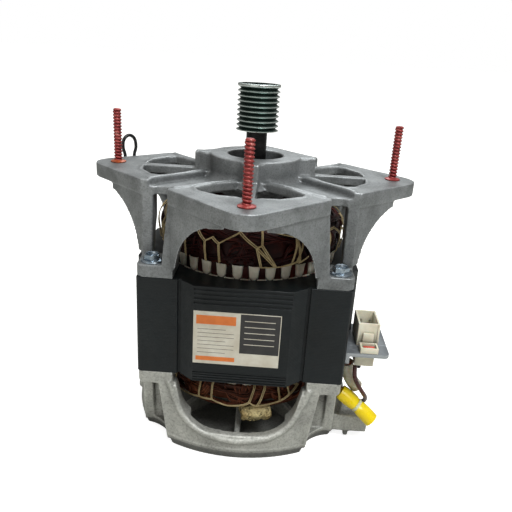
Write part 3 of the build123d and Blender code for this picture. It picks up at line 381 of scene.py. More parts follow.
def held(name, data):
    """New object in the scene."""
    made = bpy.data.objects.new(name, data)
    bpy.context.scene.collection.objects.link(made)
    return made


def dressed(name, mesh, finish, stands_for=(), body="frame"):
    """New piece of the motor that rides on a body and may stand for nodes of the frame."""
    piece = held(name, mesh)
    mesh.materials.clear()
    mesh.materials.append(FINISHES[finish])
    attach(piece, body)
    if stands_for:
        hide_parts(*stands_for)
    return piece


def copied(node):
    """Copy of a node's mesh with its doubled corners merged."""
    bm = bmesh.new()
    bm.from_mesh(nodes[node].data)
    bmesh.ops.remove_doubles(bm, verts=bm.verts, dist=MERGE)
    return bm


def plain_mesh(bm, name):
    mesh = bpy.data.meshes.new(name)
    bm.to_mesh(mesh)
    bm.free()
    return mesh


def mesh_of(bm, name, smooth_angle=0.6):
    """Mesh from a bmesh, smooth but for edges sharper than an angle."""
    bm.normal_update()
    for face in bm.faces:
        face.smooth = True
    for edge in bm.edges:
        if len(edge.link_faces) == 2 and edge.calc_face_angle(0) > smooth_angle:
            edge.smooth = False
    return plain_mesh(bm, name)


def evaluated(holder, name):
    """Plain mesh of an object with its modifiers worked in; the holder is removed."""
    bpy.context.view_layer.update()
    made = holder.evaluated_get(bpy.context.evaluated_depsgraph_get())
    mesh = bpy.data.meshes.new_from_object(made)
    mesh.name = name
    bpy.data.objects.remove(holder)
    return mesh


def turns(sides):
    """Angles of the corners of a ring."""
    return [2 * math.pi * index / sides for index in range(sides)]


def joined(bm, low, high, inside=False):
    """Faces between two rings of corners."""
    for index in range(len(low)):
        after = (index + 1) % len(low)
        face = (low[index], low[after], high[after], high[index])
        bm.faces.new(reversed(face) if inside else face)


def softened(node, finish, width=0.0, body="frame", segments=2):
    """The frame's own piece with its edges rounded by a width in millimetres, standing for it."""
    bm = copied(node)
    bmesh.ops.dissolve_limit(bm, angle_limit=0.02, verts=bm.verts, edges=bm.edges)
    sharp = [edge for edge in bm.edges if len(edge.link_faces) == 2 and edge.calc_face_angle(0) > 0.45]
    if width:
        bmesh.ops.bevel(
            bm, geom=sharp, offset=width * MM, offset_type="OFFSET", segments=segments, profile=0.5,
            affect="EDGES", clamp_overlap=True, miter_outer="ARC",
        )
    dressed(node + "_shown", mesh_of(bm, node + "_shown"), finish, (node,), body)


def lathe(name, outline, centre=(0, 0), sides=96, smooth_angle=0.5):
    """Mesh turned about an upright axis from radius and level points in millimetres."""
    bm = bmesh.new()
    rings = []
    for radius, level in outline:
        reach = radius * MM
        rings.append([
            bm.verts.new((centre[0] + reach * math.cos(turn), centre[1] + reach * math.sin(turn), level * MM))
            for turn in turns(sides if radius else 1)
        ])
    for low, high in zip(rings, rings[1:]):
        for index in range(sides):
            after = (index + 1) % sides
            if len(low) == 1:
                bm.faces.new((low[0], high[after], high[index]))
            elif len(high) == 1:
                bm.faces.new((low[index], low[after], high[0]))
            else:
                bm.faces.new((low[index], low[after], high[after], high[index]))
    bmesh.ops.recalc_face_normals(bm, faces=bm.faces)
    return mesh_of(bm, name, smooth_angle)


def rounded_block(name, low, high, width, segments=3):
    """Block between two corners with rounded edges."""
    bm = bmesh.new()
    bmesh.ops.create_cube(bm, size=1.0)
    for vertex in bm.verts:
        for axis in range(3):
            vertex.co[axis] = low[axis] if vertex.co[axis] < 0 else high[axis]
    bmesh.ops.bevel(bm, geom=list(bm.edges), offset=width, segments=segments, profile=0.5, affect="EDGES")
    return mesh_of(bm, name, 0.7)


def smooth_line(name, points, resolution):
    """Curve object with one smooth spline that has the points as its control points."""
    line = bpy.data.curves.new(name, "CURVE")
    line.dimensions = "3D"
    line.resolution_u = resolution
    spline = line.splines.new("NURBS")
    spline.points.add(len(points) - 1)
    for point, place in zip(spline.points, points):
        point.co = (*place, 1.0)
    spline.order_u = 3
    spline.use_endpoint_u = True
    return held(name, line)


def smooth_route(points):
    """Points along the smooth line."""
    mesh = evaluated(smooth_line("route", points, 12), "route")
    return [vertex.co.copy() for vertex in mesh.vertices]


def cord_mesh(name, points, radius, sides):
    """Round cord with closed ends along the smooth line."""
    holder = smooth_line(name, points, 10)
    holder.data.bevel_depth = radius
    holder.data.bevel_resolution = sides // 4 - 1
    holder.data.use_fill_caps = True
    mesh = evaluated(holder, name)
    mesh.shade_smooth()
    return mesh


def run_soft(name, bm, grain, passes, most=None):
    """Mesh skinned in fine voxels and smoothed, then thinned to a most number of faces."""
    holder = held(name, plain_mesh(bm, name))
    skin = holder.modifiers.new("skin", "REMESH")
    skin.mode = "VOXEL"
    skin.voxel_size = grain
    holder.modifiers.new("soft", "SMOOTH").iterations = passes
    if most:
        bpy.context.view_layer.update()
        count = 2 * len(holder.evaluated_get(bpy.context.evaluated_depsgraph_get()).data.polygons)
        holder.modifiers.new("thin", "DECIMATE").ratio = min(1.0, most / count)
    mesh = evaluated(holder, name)
    mesh.shade_smooth()
    return mesh


# Geometry node tools

class Growth:
    """A small geometry node tree with named sizes, ending in a finish."""

    def __init__(self, name, sizes):
        self.tree = bpy.data.node_groups.new(name, "GeometryNodeTree")
        face = self.tree.interface
        face.new_socket("Geometry", in_out="INPUT", socket_type="NodeSocketGeometry")
        for size, value in sizes.items():
            kind = "NodeSocketInt" if isinstance(value, int) else "NodeSocketFloat"
            face.new_socket(size, in_out="INPUT", socket_type=kind)
        face.new_socket("Geometry", in_out="OUTPUT", socket_type="NodeSocketGeometry")
        self.sizes = sizes
        self.size = self.tree.nodes.new("NodeGroupInput").outputs
        self.outlet = self.tree.nodes.new("NodeGroupOutput")

    def node(self, kind, inputs, **settings):
        """First output of a new node; its inputs are values or other nodes' outputs."""
        made = self.tree.nodes.new(kind)
        for key, value in settings.items():
            setattr(made, key, value)
        for socket, value in inputs.items():
            for part in value if isinstance(value, list) else [value]:
                if isinstance(part, bpy.types.NodeSocket):
                    self.tree.links.new(part, made.inputs[socket])
                else:
                    made.inputs[socket].default_value = part
        return made.outputs[0]

    def grow(self, name, finish, last, base=None):
        """Runs the tree on a base mesh and gives back the plain mesh."""
        whole = self.node("GeometryNodeRealizeInstances", {"Geometry": last})
        smooth = self.node("GeometryNodeSetShadeSmooth", {"Geometry": whole})
        painted = self.node("GeometryNodeSetMaterial", {"Geometry": smooth, "Material": FINISHES[finish]})
        self.tree.links.new(painted, self.outlet.inputs[0])
        holder = held(name, base or bpy.data.meshes.new(name + "_base"))
        modifier = holder.modifiers.new(name, "NODES")
        modifier.node_group = self.tree
        for item in self.tree.interface.items_tree:
            if item.in_out == "INPUT" and item.name in self.sizes:
                modifier[item.identifier] = self.sizes[item.name]
        return evaluated(holder, name)


def polylines(name, lines):
    """Mesh of open lines, each a list of places."""
    places = []
    edges = []
    for line in lines:
        first = len(places)
        places += line
        edges += [(first + index, first + index + 1) for index in range(len(line) - 1)]
    mesh = bpy.data.meshes.new(name)
    mesh.from_pydata(places, edges, [])
    return mesh


def wire_piece(name, finish, lines, radius, sides, stands_for=()):
    """Round wires along many lines, as one piece."""
    growth = Growth(name + "_tree", {"Radius": radius, "Sides": sides})
    size = growth.size
    line = growth.node("GeometryNodeMeshToCurve", {"Mesh": size["Geometry"]})
    ring = growth.node(
        "GeometryNodeCurvePrimitiveCircle", {"Resolution": size["Sides"], "Radius": size["Radius"]},
    )
    tube = growth.node("GeometryNodeCurveToMesh", {"Curve": line, "Profile Curve": ring, "Fill Caps": True})
    mesh = growth.grow(name, finish, tube, polylines(name + "_lines", lines))
    dressed(name, mesh, finish, stands_for)


# Camera, floor and light

def photo_camera():
    """Camera at the photograph's place and angle."""
    place = Vector((0.01411, -0.42537, 0.08825))
    azimuth = math.radians(1.209)
    elevation = math.radians(20.54)
    roll = math.radians(3.516)
    focal_share = 548.735 / 512
    back = Vector((
        math.sin(azimuth) * math.cos(elevation),
        -math.cos(azimuth) * math.cos(elevation),
        math.sin(elevation),
    ))
    right = (-back).cross(Vector((0, 0, 1))).normalized()
    up = right.cross(-back)
    rolled_right = right * math.cos(roll) + up * math.sin(roll)
    rolled_up = -right * math.sin(roll) + up * math.cos(roll)
    lens = bpy.data.cameras.new("camera")
    lens.sensor_width = 36.0
    lens.lens = 36.0 * focal_share
    lens.clip_start = 0.01
    lens.clip_end = 20
    camera = held("camera", lens)
    facing = Matrix((rolled_right, rolled_up, back)).transposed()
    camera.matrix_world = Matrix.Translation(place) @ facing.to_4x4()
    bpy.context.scene.camera = camera


def shown_apart(tree, lit, seen, output):
    """One shader for the light and another for the camera's own rays."""
    path = tree.nodes.new("ShaderNodeLightPath")
    choose = tree.nodes.new("ShaderNodeMixShader")
    tree.links.new(path.outputs["Is Camera Ray"], choose.inputs[0])
    tree.links.new(lit, choose.inputs[1])
    tree.links.new(seen, choose.inputs[2])
    tree.links.new(choose.outputs[0], tree.nodes[output].inputs[0])


def ground_finish():
    """Pale floor that the camera sees as white away from the motor's shadow."""
    ground = Finish("ground_white", shade(200, 200, 196), 0.9)
    mottled = ground.noise(3, 2, 0.5)
    ground.colour(ground.ramp(mottled, (0.3, shade(196, 196, 192)), (0.7, shade(204, 204, 200))))
    ground.fixed("Specular IOR Level", 0.1)
    glow = ground.node("ShaderNodeEmission", {"Strength": 0.84}).outputs[0]
    matt = ground.shader.outputs[0]
    both = ground.node("ShaderNodeAddShader", {0: matt, 1: glow}).outputs[0]
    shown_apart(ground.tree, matt, both, "Material Output")
    return ground.material


def surround():
    """World that is brighter above than at the floor, and plain white to the camera."""
    world = bpy.data.worlds.new("studio")
    bpy.context.scene.world = world
    world.use_nodes = True
    tree = world.node_tree
    sky = tree.nodes["Background"]
    sky.inputs["Color"].default_value = (1.0, 0.99, 0.96, 1)
    place = tree.nodes.new("ShaderNodeTexCoord")
    split = tree.nodes.new("ShaderNodeSeparateXYZ")
    tree.links.new(place.outputs["Generated"], split.inputs[0])
    rise = tree.nodes.new("ShaderNodeMapRange")
    for socket, value in (("From Min", 0.0), ("From Max", 0.9), ("To Min", 0.16), ("To Max", 0.62)):
        rise.inputs[socket].default_value = value
    tree.links.new(split.outputs["Z"], rise.inputs["Value"])
    tree.links.new(rise.outputs[0], sky.inputs["Strength"])
    white = tree.nodes.new("ShaderNodeBackground")
    white.inputs["Color"].default_value = (1, 1, 1, 1)
    white.inputs["Strength"].default_value = 1.0
    shown_apart(tree, sky.outputs[0], white.outputs[0], "World Output")


# Lamps: name, place, size, power and tint
LAMPS = (
    ("key", (0.40, -0.62, 1.10), 0.5, 16.0, (0.95, 0.98, 1.0)),
    ("fill", (-0.55, -1.1, 0.30), 0.9, 1.8, (1.0, 0.97, 0.92)),
    ("back", (0.05, 0.9, 0.95), 0.7, 8.0, (0.94, 0.98, 1.0)),
)
LIGHT_AIM = Vector((0, 0, -0.08))


def studio():
    """Pale floor, white surround and soft light from above."""
    bm = bmesh.new()
    bmesh.ops.create_grid(bm, x_segments=1, y_segments=1, size=40.0)
    for vertex in bm.verts:
        vertex.co.z = cad_box[0][2] - 0.0002
    floor = held("floor", mesh_of(bm, "floor"))
    floor.data.materials.append(ground_finish())
    surround()
    for name, place, size, power, tint in LAMPS:
        lamp = bpy.data.lights.new(name, "AREA")
        lamp.size = size
        lamp.energy = power
        lamp.color = tint
        holder = held(name, lamp)
        holder.location = place
        holder.rotation_euler = (LIGHT_AIM - Vector(place)).to_track_quat("-Z", "Y").to_euler()
    bpy.context.scene.view_settings.view_transform = "Standard"


photo_camera()
studio()


# Castings

def tube_between(bm, points, radius, squash=1.0):
    """Closed round bar along straight runs, flattened up and down by a squash."""
    rings = []
    for index, place in enumerate(points):
        before = points[max(index - 1, 0)]
        after = points[min(index + 1, len(points) - 1)]
        along = (after - before).normalized()
        side = along.orthogonal() if abs(along.z) > 0.9 else along.cross(Vector((0, 0, 1)))
        side.normalize()
        rise = side.cross(along)
        ring = []
        for turn in turns(10):
            reach = side * (radius * math.cos(turn)) + rise * (radius * math.sin(turn) * squash)
            ring.append(bm.verts.new(place + reach))
        rings.append(ring)
    for low, high in zip(rings, rings[1:]):
        joined(bm, low, high)
    bm.faces.new(list(reversed(rings[0])))
    bm.faces.new(rings[-1])


def about(point, turn):
    """Point in millimetres moved round the shaft by quarter turns, given back in metres."""
    return Matrix.Rotation(math.radians(turn), 3, "Z") @ (Vector(point) * MM)


CAST_FACES = 185000


def cast_body(name, node, finish, growths):
    """The frame's casting joined with its small growths, then run soft like metal from a mould."""
    bm = copied(node)
    growths(bm)
    bmesh.ops.recalc_face_normals(bm, faces=bm.faces)
    dressed(name, run_soft(name, bm, 0.8 * MM, 6, CAST_FACES), finish, (node,))


# Ridge lines of the front ear, seen from above: sideways and outwards from the shaft
EAR_RIDGE = ((11.0, 38.5), (14.5, 42.0), (20.0, 46.6), (27.4, 51.2), (36.0, 59.6), (44.6, 67.8), (51.0, 72.4))
POCKET_LIP = ((11.5, 41.6), (17.0, 45.6), (25.9, 52.0), (38.0, 67.0), (36.0, 74.8), (20.8, 85.2), (7.0, 86.4))
LIP_LEVEL = -0.35

# Skirt of the hub: its core and outer radius, its levels, and how far the four buttresses stand out
HUB_CORE = 28.0
HUB_RADIUS = 35.0
HUB_FOOT = -5.5
HUB_TOP = 12.3
HUB_SWELL = 5.0
BUTTRESS_REACH = 11.5
HUB_SIDES = 180
HUB_LEVELS = 14


def hub_reach(turn, swell):
    """Outer radius of the hub's skirt, wide at the buttresses and where its foot swells."""
    off = (math.degrees(turn) + 45) % 90 - 45
    arc = math.radians(off) * 40
    spread = 7.4 + 5.5 * swell
    tab = BUTTRESS_REACH * math.exp(-((arc / spread) ** 4) ** 0.6)
    return HUB_RADIUS - 0.6 + tab * 0.97 + HUB_SWELL * swell


def hub_flare(bm):
    """Skirt round the hub that swells at its foot and runs out into the four buttresses."""
    outer = []
    inner = []
    for index in range(HUB_LEVELS + 1):
        level = HUB_FOOT + (HUB_TOP - HUB_FOOT) * index / HUB_LEVELS
        swell = math.exp(-(level - HUB_FOOT) / 3.2)
        ring = []
        core = []
        for turn in turns(HUB_SIDES):
            away = Vector((math.cos(turn), math.sin(turn), 0))
            rise = Vector((0, 0, level))
            ring.append(bm.verts.new((away * hub_reach(turn, swell) + rise) * MM))
            core.append(bm.verts.new((away * HUB_CORE + rise) * MM))
        outer.append(ring)
        inner.append(core)
    for rings, inside in ((outer, False), (inner, True)):
        for low, high in zip(rings, rings[1:]):
            joined(bm, low, high, inside)
    joined(bm, outer[-1], inner[-1])
    joined(bm, inner[0], outer[0])


def upper_growths(bm):
    """Hub skirt, ear ridges and pocket lips of the upper casting."""
    hub_flare(bm)
    for turn in QUARTERS:
        for sign in (1, -1):
            ridge = [about((sign * x, -y, LIP_LEVEL), turn) for x, y in EAR_RIDGE]
            tube_between(bm, ridge, 2.1 * MM, 0.8)
            lip = [about((sign * x, -y, LIP_LEVEL - 0.2), turn) for x, y in POCKET_LIP]
            tube_between(bm, lip, 1.3 * MM)


# Half of the lower arch's edge seen from the front: sideways, and down from the stack
ARCH_EDGE = (
    (50.5, 6.0), (49.0, 10.0), (46.0, 19.0), (43.2, 26.5), (38.6, 33.5), (32.0, 39.5), (22.5, 43.6),
    (11.5, 45.3), (0.0, 46.0),
)
BORDER = 2.3


def lower_growths(bm):
    """Raised border along the lower casting's four arches."""
    wall = BVHTree.FromBMesh(bm)
    half = [(x + BORDER * (x / 50) ** 0.5, drop + BORDER * (1 - x / 60)) for x, drop in ARCH_EDGE]
    line = half + [(-x, drop) for x, drop in reversed(half[:-1])]
    for turn in QUARTERS:
        inward = about((0, 1000, 0), turn)
        border = []
        for x, drop in line:
            start = about((x, -130, STATOR_BOTTOM - drop), turn)
            hit = wall.ray_cast(start, inward, 0.08)[0]
            if hit:
                border.append(hit)
        tube_between(bm, border, BORDER * MM)


def outline_at(node, level):
    """Longest closed line of a node's walls at a level."""
    bm = copied(node)
    cut = bmesh.ops.bisect_plane(
        bm, geom=bm.verts[:] + bm.edges[:] + bm.faces[:], plane_co=(0, 0, level), plane_no=(0, 0, 1),
        clear_inner=True, clear_outer=True,
    )
    left = [part for part in cut["geom_cut"] if isinstance(part, bmesh.types.BMEdge)]
    loops = []
    while left:
        edge = left.pop(0)
        loop = [edge.verts[0], edge.verts[1]]
        while True:
            following = [other for other in loop[-1].link_edges if other in left]
            if not following:
                break
            left.remove(following[0])
            loop.append(following[0].other_vert(loop[-1]))
        loops.append([vertex.co.copy() for vertex in loop])
    bm.free()
    return max(loops, key=lambda loop: max(point.length for point in loop) * len(loop))


def rim_flash():
    """Thin ragged seam left by the mould round the ears' rim."""
    outline = outline_at("upper_end_bell", -10.3 * MM)
    chance = random.Random(3)
    line = []
    for before, after in zip(outline, outline[1:]):
        runs = max(1, int((after - before).length / (1.6 * MM)))
        for step in range(runs):
            ragged = Vector((chance.uniform(-1, 1), chance.uniform(-1, 1), chance.uniform(-1.6, 1.6)))
            line.append(before.lerp(after, step / runs) + ragged * 0.09 * MM)
    line.append(line[0].copy())
    wire_piece("rim_flash", "flash", [line], 0.34 * MM, 5)


cast_body("upper_casting", "upper_end_bell", "upper_cast", upper_growths)
cast_body("lower_casting", "lower_end_bell", "lower_cast", lower_growths)
rim_flash()


# Stack, rotor, bracket and connector

softened("stator_core", "enamel", 0.25, segments=1)
softened("rotor_core", "rotor", body="rotor")
for place in ("upper", "lower"):
    softened(f"{place}_end_ring", "upper_cast", 0.5, "rotor", 1)
    softened(f"{place}_winding_core", "varnish")
softened("connector_bracket", "bracket", 0.5)
IVORY_EDGES = {"connector_header": 0.3, "header_latch": 0.4, "connector_plug": 0.4, "side_socket": 0.3}
for node, width in IVORY_EDGES.items():
    softened(node, "ivory", width)
softened("loop_clip", "black", 0.3)

# Nodes of the frame that are shown as they are, with their finish
PLAIN = {"winding_sides": "varnish", "wave_washer": "steel", "connector_terminals": "tin"}
for place in ("upper", "lower"):
    for kind in ("outer_ring", "inner_ring", "balls"):
        PLAIN[f"{place}_bearing_{kind}"] = "steel"
for node, finish in PLAIN.items():
    nodes[node].data.materials.clear()
    nodes[node].data.materials.append(FINISHES[finish])


# Shaft and pulley

SHAFT_RADIUS = 7.9375
ROTOR_SEAT_RADIUS = 10.0
GROOVES = 9
GROOVE_PITCH = 3.56
GROOVE_DEPTH = 2.25
GROOVE_STEPS = 8
PULLEY_RIM = 1.7
PULLEY_BORE = 7.98


def shaft_piece():
    """Shaft that is thicker through the rotor, with a small centre hole in its top."""
    low, high = box_mm("shaft")
    core_low, core_high = box_mm("rotor_core")
    step_low = core_low.z - 45
    step_high = core_high.z + 46
    outline = [
        (0, low.z), (SHAFT_RADIUS, low.z), (SHAFT_RADIUS, step_low), (ROTOR_SEAT_RADIUS, step_low),
        (ROTOR_SEAT_RADIUS, step_high), (SHAFT_RADIUS, step_high),
        (SHAFT_RADIUS, high.z - 0.8), (SHAFT_RADIUS - 0.8, high.z),
        (2.4, high.z), (1.5, high.z - 1.2), (1.5, high.z - 4), (0, high.z - 5),
    ]
    dressed("shaft_turned", lathe("shaft_turned", outline), "oxide", ("shaft",), "rotor")


def pulley_piece():
    """Pulley with rounded ribs and grooves."""
    low, high = box_mm("pulley")
    radius = high.x
    top = high.z
    first = top - PULLEY_RIM - GROOVE_PITCH * GROOVES
    outline = [(PULLEY_BORE, low.z), (radius - 0.5, low.z), (radius, low.z + 0.4), (radius, first)]
    for index in range(GROOVES):
        start = first + index * GROOVE_PITCH
        for step in range(GROOVE_STEPS + 1):
            share = step / GROOVE_STEPS
            dip = 0.5 - 0.5 * math.cos(2 * math.pi * share)
            outline.append((radius - GROOVE_DEPTH * dip ** 0.85, start + GROOVE_PITCH * share))
    outline += [
        (radius, top - 0.4), (radius - 0.4, top), (radius - 3, top), (radius - 3.2, top - 0.8),
        (9.4, top - 0.8), (8.6, top - 0.1), (PULLEY_BORE, top - 0.1), outline[0],
    ]
    mesh = lathe("pulley_turned", outline, smooth_angle=0.9)
    dressed("pulley_turned", mesh, "pulley", ("pulley",), "rotor")


shaft_piece()
pulley_piece()


# Studs and bolts

STUD_RADIUS = 3.25
THREAD_DEPTH = 0.75
THREAD_PITCH = 2.4
STUD_FOOT = 1.2


def threaded_rod(name, finish, centre, low, high):
    """Rod with one helical thread, grown on a spiral between two levels in metres."""
    core_radius = (STUD_RADIUS - THREAD_DEPTH) * MM
    growth = Growth(name + "_tree", {
        "Length": high - low, "Turns": (high - low) / (THREAD_PITCH * MM), "Core": core_radius,
        "Ridge": THREAD_DEPTH * MM * 1.05,
    })
    size = growth.size
    spiral = growth.node("GeometryNodeCurveSpiral", {
        "Resolution": 22, "Rotations": size["Turns"], "Start Radius": size["Core"],
        "End Radius": size["Core"], "Height": size["Length"],
    })
    ridge = growth.node("GeometryNodeCurvePrimitiveCircle", {"Resolution": 6, "Radius": size["Ridge"]})
    thread = growth.node(
        "GeometryNodeCurveToMesh", {"Curve": spiral, "Profile Curve": ridge, "Fill Caps": True},
    )
    core = growth.node(
        "GeometryNodeMeshCylinder", {"Vertices": 22, "Radius": size["Core"], "Depth": size["Length"]},
    )
    raised = growth.node("GeometryNodeTransform", {"Geometry": core, "Translation": (0, 0, (high - low) / 2)})
    both = growth.node("GeometryNodeJoinGeometry", {"Geometry": [thread, raised]})
    placed = growth.node("GeometryNodeTransform", {"Geometry": both, "Translation": (*centre, low)})
    return growth.grow(name, finish, placed)


def stud_pieces():
    """Threaded studs with a collar on the ear and a blunt tip; the left one has a copper-coloured collar."""
    for index in range(1, 5):
        node = f"mounting_stud_{index}"
        low, high = box_mm(node)
        centre = ((low.x + high.x) / 2 * MM, (low.y + high.y) / 2 * MM)
        name = f"stud_thread_{index}"
        rod = threaded_rod(name, "stud", centre, STUD_FOOT * MM, (high.z - 0.6) * MM)
        dressed(name, rod, "stud", (node,))
        collar = lathe(f"stud_collar_{index}", [
            (0, low.z), (3.0, low.z), (3.0, 0.1), (5.8, 0.1), (5.85, 0.8), (4.8, 1.3), (3.4, 1.7),
            (2.7, 2.0), (0, 2.0),
        ], centre, 40)
        on_left = centre[0] < -0.05
        dressed(f"stud_collar_{index}", collar, "stud_foot" if on_left else "stud")
        tip = lathe(f"stud_tip_{index}", [
            (0, high.z - 1.4), (2.9, high.z - 1.4), (2.8, high.z - 0.5), (2.1, high.z), (0, high.z),
        ], centre, 32)
        dressed(f"stud_tip_{index}", tip, "stud")


# Radius and height of the bolt head's faces, from its flange to the bottom of its dish
HEAD_RISES = (
    (6.0, 1.5), (6.0, 4.0), (5.5, 4.9), (4.9, 5.1), (4.1, 4.9), (3.7, 3.6), (3.4, 2.4), (0.001, 2.3),
)
HEAD_HEIGHT = 6.8
HALF_FLATS = 5.2
HEAD_SIDES = 36


def bolt_head(name, centre, seat, tilt):
    """Hexagon head turned by a tilt in degrees, chamfered and dished like a shallow cup."""
    bm = bmesh.new()
    rings = []
    for radius, level in HEAD_RISES:
        ring = []
        for turn in turns(HEAD_SIDES):
            flat = HALF_FLATS / math.cos((turn + math.pi / 6) % (math.pi / 3) - math.pi / 6)
            reach = min(radius, flat) * MM
            heading = turn + math.radians(tilt)
            away = Vector((reach * math.cos(heading), reach * math.sin(heading), (seat + level) * MM))
            ring.append(bm.verts.new(centre + away))
        rings.append(ring)
    for under, over in zip(rings, rings[1:]):
        joined(bm, under, over)
    bmesh.ops.remove_doubles(bm, verts=rings[-1], dist=0.01 * MM)
    bmesh.ops.contextual_create(bm, geom=rings[0])
    bmesh.ops.recalc_face_normals(bm, faces=bm.faces)
    return mesh_of(bm, name, 0.5)


def bolt_pieces():
    """Through bolts with a wide flange under the head."""
    for index in range(1, 5):
        node = f"through_bolt_{index}"
        low, high = box_mm(node)
        centre = Vector(((low.x + high.x) / 2, (low.y + high.y) / 2, 0)) * MM
        seat = high.z - HEAD_HEIGHT
        flange = lathe(f"bolt_flange_{index}", [
            (0, low.z), (3.1, low.z), (3.1, seat - 1), (8.0, seat - 1), (8.2, seat + 0.4), (7.8, seat + 1.1),
            (6.6, seat + 1.6), (5.0, seat + 2.0), (0, seat + 2.0),
        ], centre.xy, 48)
        dressed(f"bolt_flange_{index}", flange, "zinc", (node,))
        name = f"bolt_head_{index}"
        dressed(name, bolt_head(name, centre, seat, 17 * index), "zinc")


stud_pieces()
bolt_pieces()


# Windings

def ease(share):
    """Share from 0 to 1 that starts and ends gently."""
    share = max(0.0, min(1.0, share))
    return share * share * (3 - 2 * share)


class EndTurns:
    """Rounded crown that one end's wires lie on, by levels in millimetres away from the stack."""

    rim = TURN_RADIUS - 1.0
    waist = 1.6
    foot = 62.5
    inner = 56.0
    flare = 6.0
    shoulder = 13.0
    bend = 15.0

    def __init__(self, place):
        low, high = box_mm(f"{place}_winding_turns")
        upper = place == "upper"
        self.up = 1 if upper else -1
        self.start = STATOR_TOP if upper else STATOR_BOTTOM
        self.height = (high.z - low.z + 10.5 if upper else STATOR_BOTTOM - low.z) - 1.2

    def reach(self, level):
        """Radius of the outer face at a level."""
        narrow = self.rim - self.waist
        if level < self.shoulder:
            share = ease((level - self.flare) / (self.shoulder - self.flare))
            return self.foot + (narrow - self.foot) * share
        top = self.height - self.bend
        if level < top:
            return narrow + self.waist * ease((level - self.shoulder) / (top - self.shoulder))
        share = min(1.0, (level - top) / self.bend)
        return self.inner + (self.rim - self.inner) * math.sqrt(1 - share * share)

    def place(self, turn, level, depth):
        """Place in metres at a depth under the outer face."""
        radius = self.reach(level) - depth
        return Vector((radius * math.cos(turn), radius * math.sin(turn), self.start + self.up * level)) * MM


STRANDS = 18
COIL_STEPS = 24
WIRE_FOOT = 2.5

# Coil families: how many, turn of the first, shares of the height at both ends, span in degrees, depth
COILS = ((12, 0, 0.30, 0.56, 42, 0.0), (12, 13, 0.56, 0.90, 54, 1.4), (12, 22, 0.97, 0.66, 58, 0.6))


def coil_bundles(ends, chance):
    """Wires of every coil: a thick bundle leaves a slot, slants round the end and goes down into another."""
    lines = []
    for count, offset, rise, tail, span, sunk in COILS:
        for bundle in range(count):
            start = math.radians(360 / count * bundle + offset + chance.uniform(-2.5, 2.5))
            lean = chance.uniform(-0.05, 0.05)
            width = chance.uniform(3.4, 4.6)
            for strand in range(STRANDS):
                swing = 2.4 * strand
                away = math.sqrt((strand + 0.5) / STRANDS)
                across = width * away * math.cos(swing)
                inwards = 1.5 * (1 - away * math.sin(swing))
                twist = chance.uniform(-0.4, 0.4)
                line = []
                for step in range(COIL_STEPS + 1):
                    share = step / COIL_STEPS
                    crest = ends.height * (rise + (tail - rise) * share + lean)
                    lift = ease(min(share, 1 - share) / 0.2)
                    roll = across * math.cos(share * 3 + twist)
                    level = WIRE_FOOT + (crest - WIRE_FOOT + roll) * lift
                    level = min(max(level, 1.5), ends.height - 0.3)
                    turn = start + math.radians(span) * share + roll * (1 - lift) / ends.rim
                    weave = 0.25 * math.sin(share * 17 + strand * 2.1 + bundle)
                    depth = max(0.0, sunk + inwards + weave)
                    line.append(ends.place(turn, level, depth * lift + 0.3))
                lines.append(line)
    return lines


def winding_piece(place, seed):
    lines = coil_bundles(EndTurns(place), random.Random(seed))
    wire_piece(f"{place}_wires", "varnish", lines, 0.5 * MM, 5, (f"{place}_winding_turns",))


CUFFS = 36
CUFF_RADIUS = 66.0
CUFF_TURN = math.radians(5)
CUFF_COLUMNS = 14
CUFF_ROWS = 10
CUFF_HEIGHT = 10.6
CUFF_WALL = 0.45


def cuff_skin(bm, thick):
    """Rows of corners of one cuff's outer face, or of its inner face for a wall's thickness."""
    skin = []
    for row in range(CUFF_ROWS + 1):
        share = row / CUFF_ROWS
        tuck = max(0.0, 1 - share / 0.28)
        half = (3.3 + 0.8 * share ** 1.5) * math.sqrt(1 - 0.72 * tuck ** 2)
        line = []
        for column in range(CUFF_COLUMNS + 1):
            turn = math.pi * (column / CUFF_COLUMNS - 0.5)
            bow = math.sin(turn)
            side = half * (abs(bow) ** 0.75) * (1 if bow > 0 else -1) * (1 - thick * 0.12)
            out = (2.7 - thick) * max(0.0, math.cos(turn)) ** 0.45 + 0.7 * share ** 3 - 0.5 * tuck
            line.append(bm.verts.new(Vector((out, side, share * CUFF_HEIGHT)) * MM))
        skin.append(line)
    return skin


def cuff_mesh():
    """One folded liner cuff: a shallow trough with a round lower end and a flared mouth."""
    bm = bmesh.new()
    outer = cuff_skin(bm, 0.0)
    inner = cuff_skin(bm, CUFF_WALL)
    for skin, inside in ((outer, False), (inner, True)):
        for low, high in zip(skin, skin[1:]):
            for column in range(CUFF_COLUMNS):
                face = (low[column], low[column + 1], high[column + 1], high[column])
                bm.faces.new(reversed(face) if inside else face)
    sides = [([line[end] for line in outer], [line[end] for line in inner]) for end in (0, CUFF_COLUMNS)]
    brims = [(outer[end], inner[end]) for end in (0, CUFF_ROWS)]
    for there, here in sides + brims:
        for step in range(len(there) - 1):
            bm.faces.new((there[step], there[step + 1], here[step + 1], here[step]))
    bmesh.ops.recalc_face_normals(bm, faces=bm.faces)
    return mesh_of(bm, "cuff", 0.9)


def sleeve_piece():
    """The part of the liners that runs through the stack; the cuffs stand for its ends."""
    bm = copied("slot_liners")
    for level, side in ((STATOR_TOP + 0.4, 1), (STATOR_BOTTOM - 0.4, -1)):
        bmesh.ops.bisect_plane(
            bm, geom=bm.verts[:] + bm.edges[:] + bm.faces[:], plane_co=(0, 0, level * MM),
            plane_no=(0, 0, side), clear_outer=True,
        )
        bmesh.ops.holes_fill(bm, edges=[edge for edge in bm.edges if edge.is_boundary], sides=0)
    dressed("slot_sleeves", mesh_of(bm, "slot_sleeves"), "liner", ("slot_liners",))


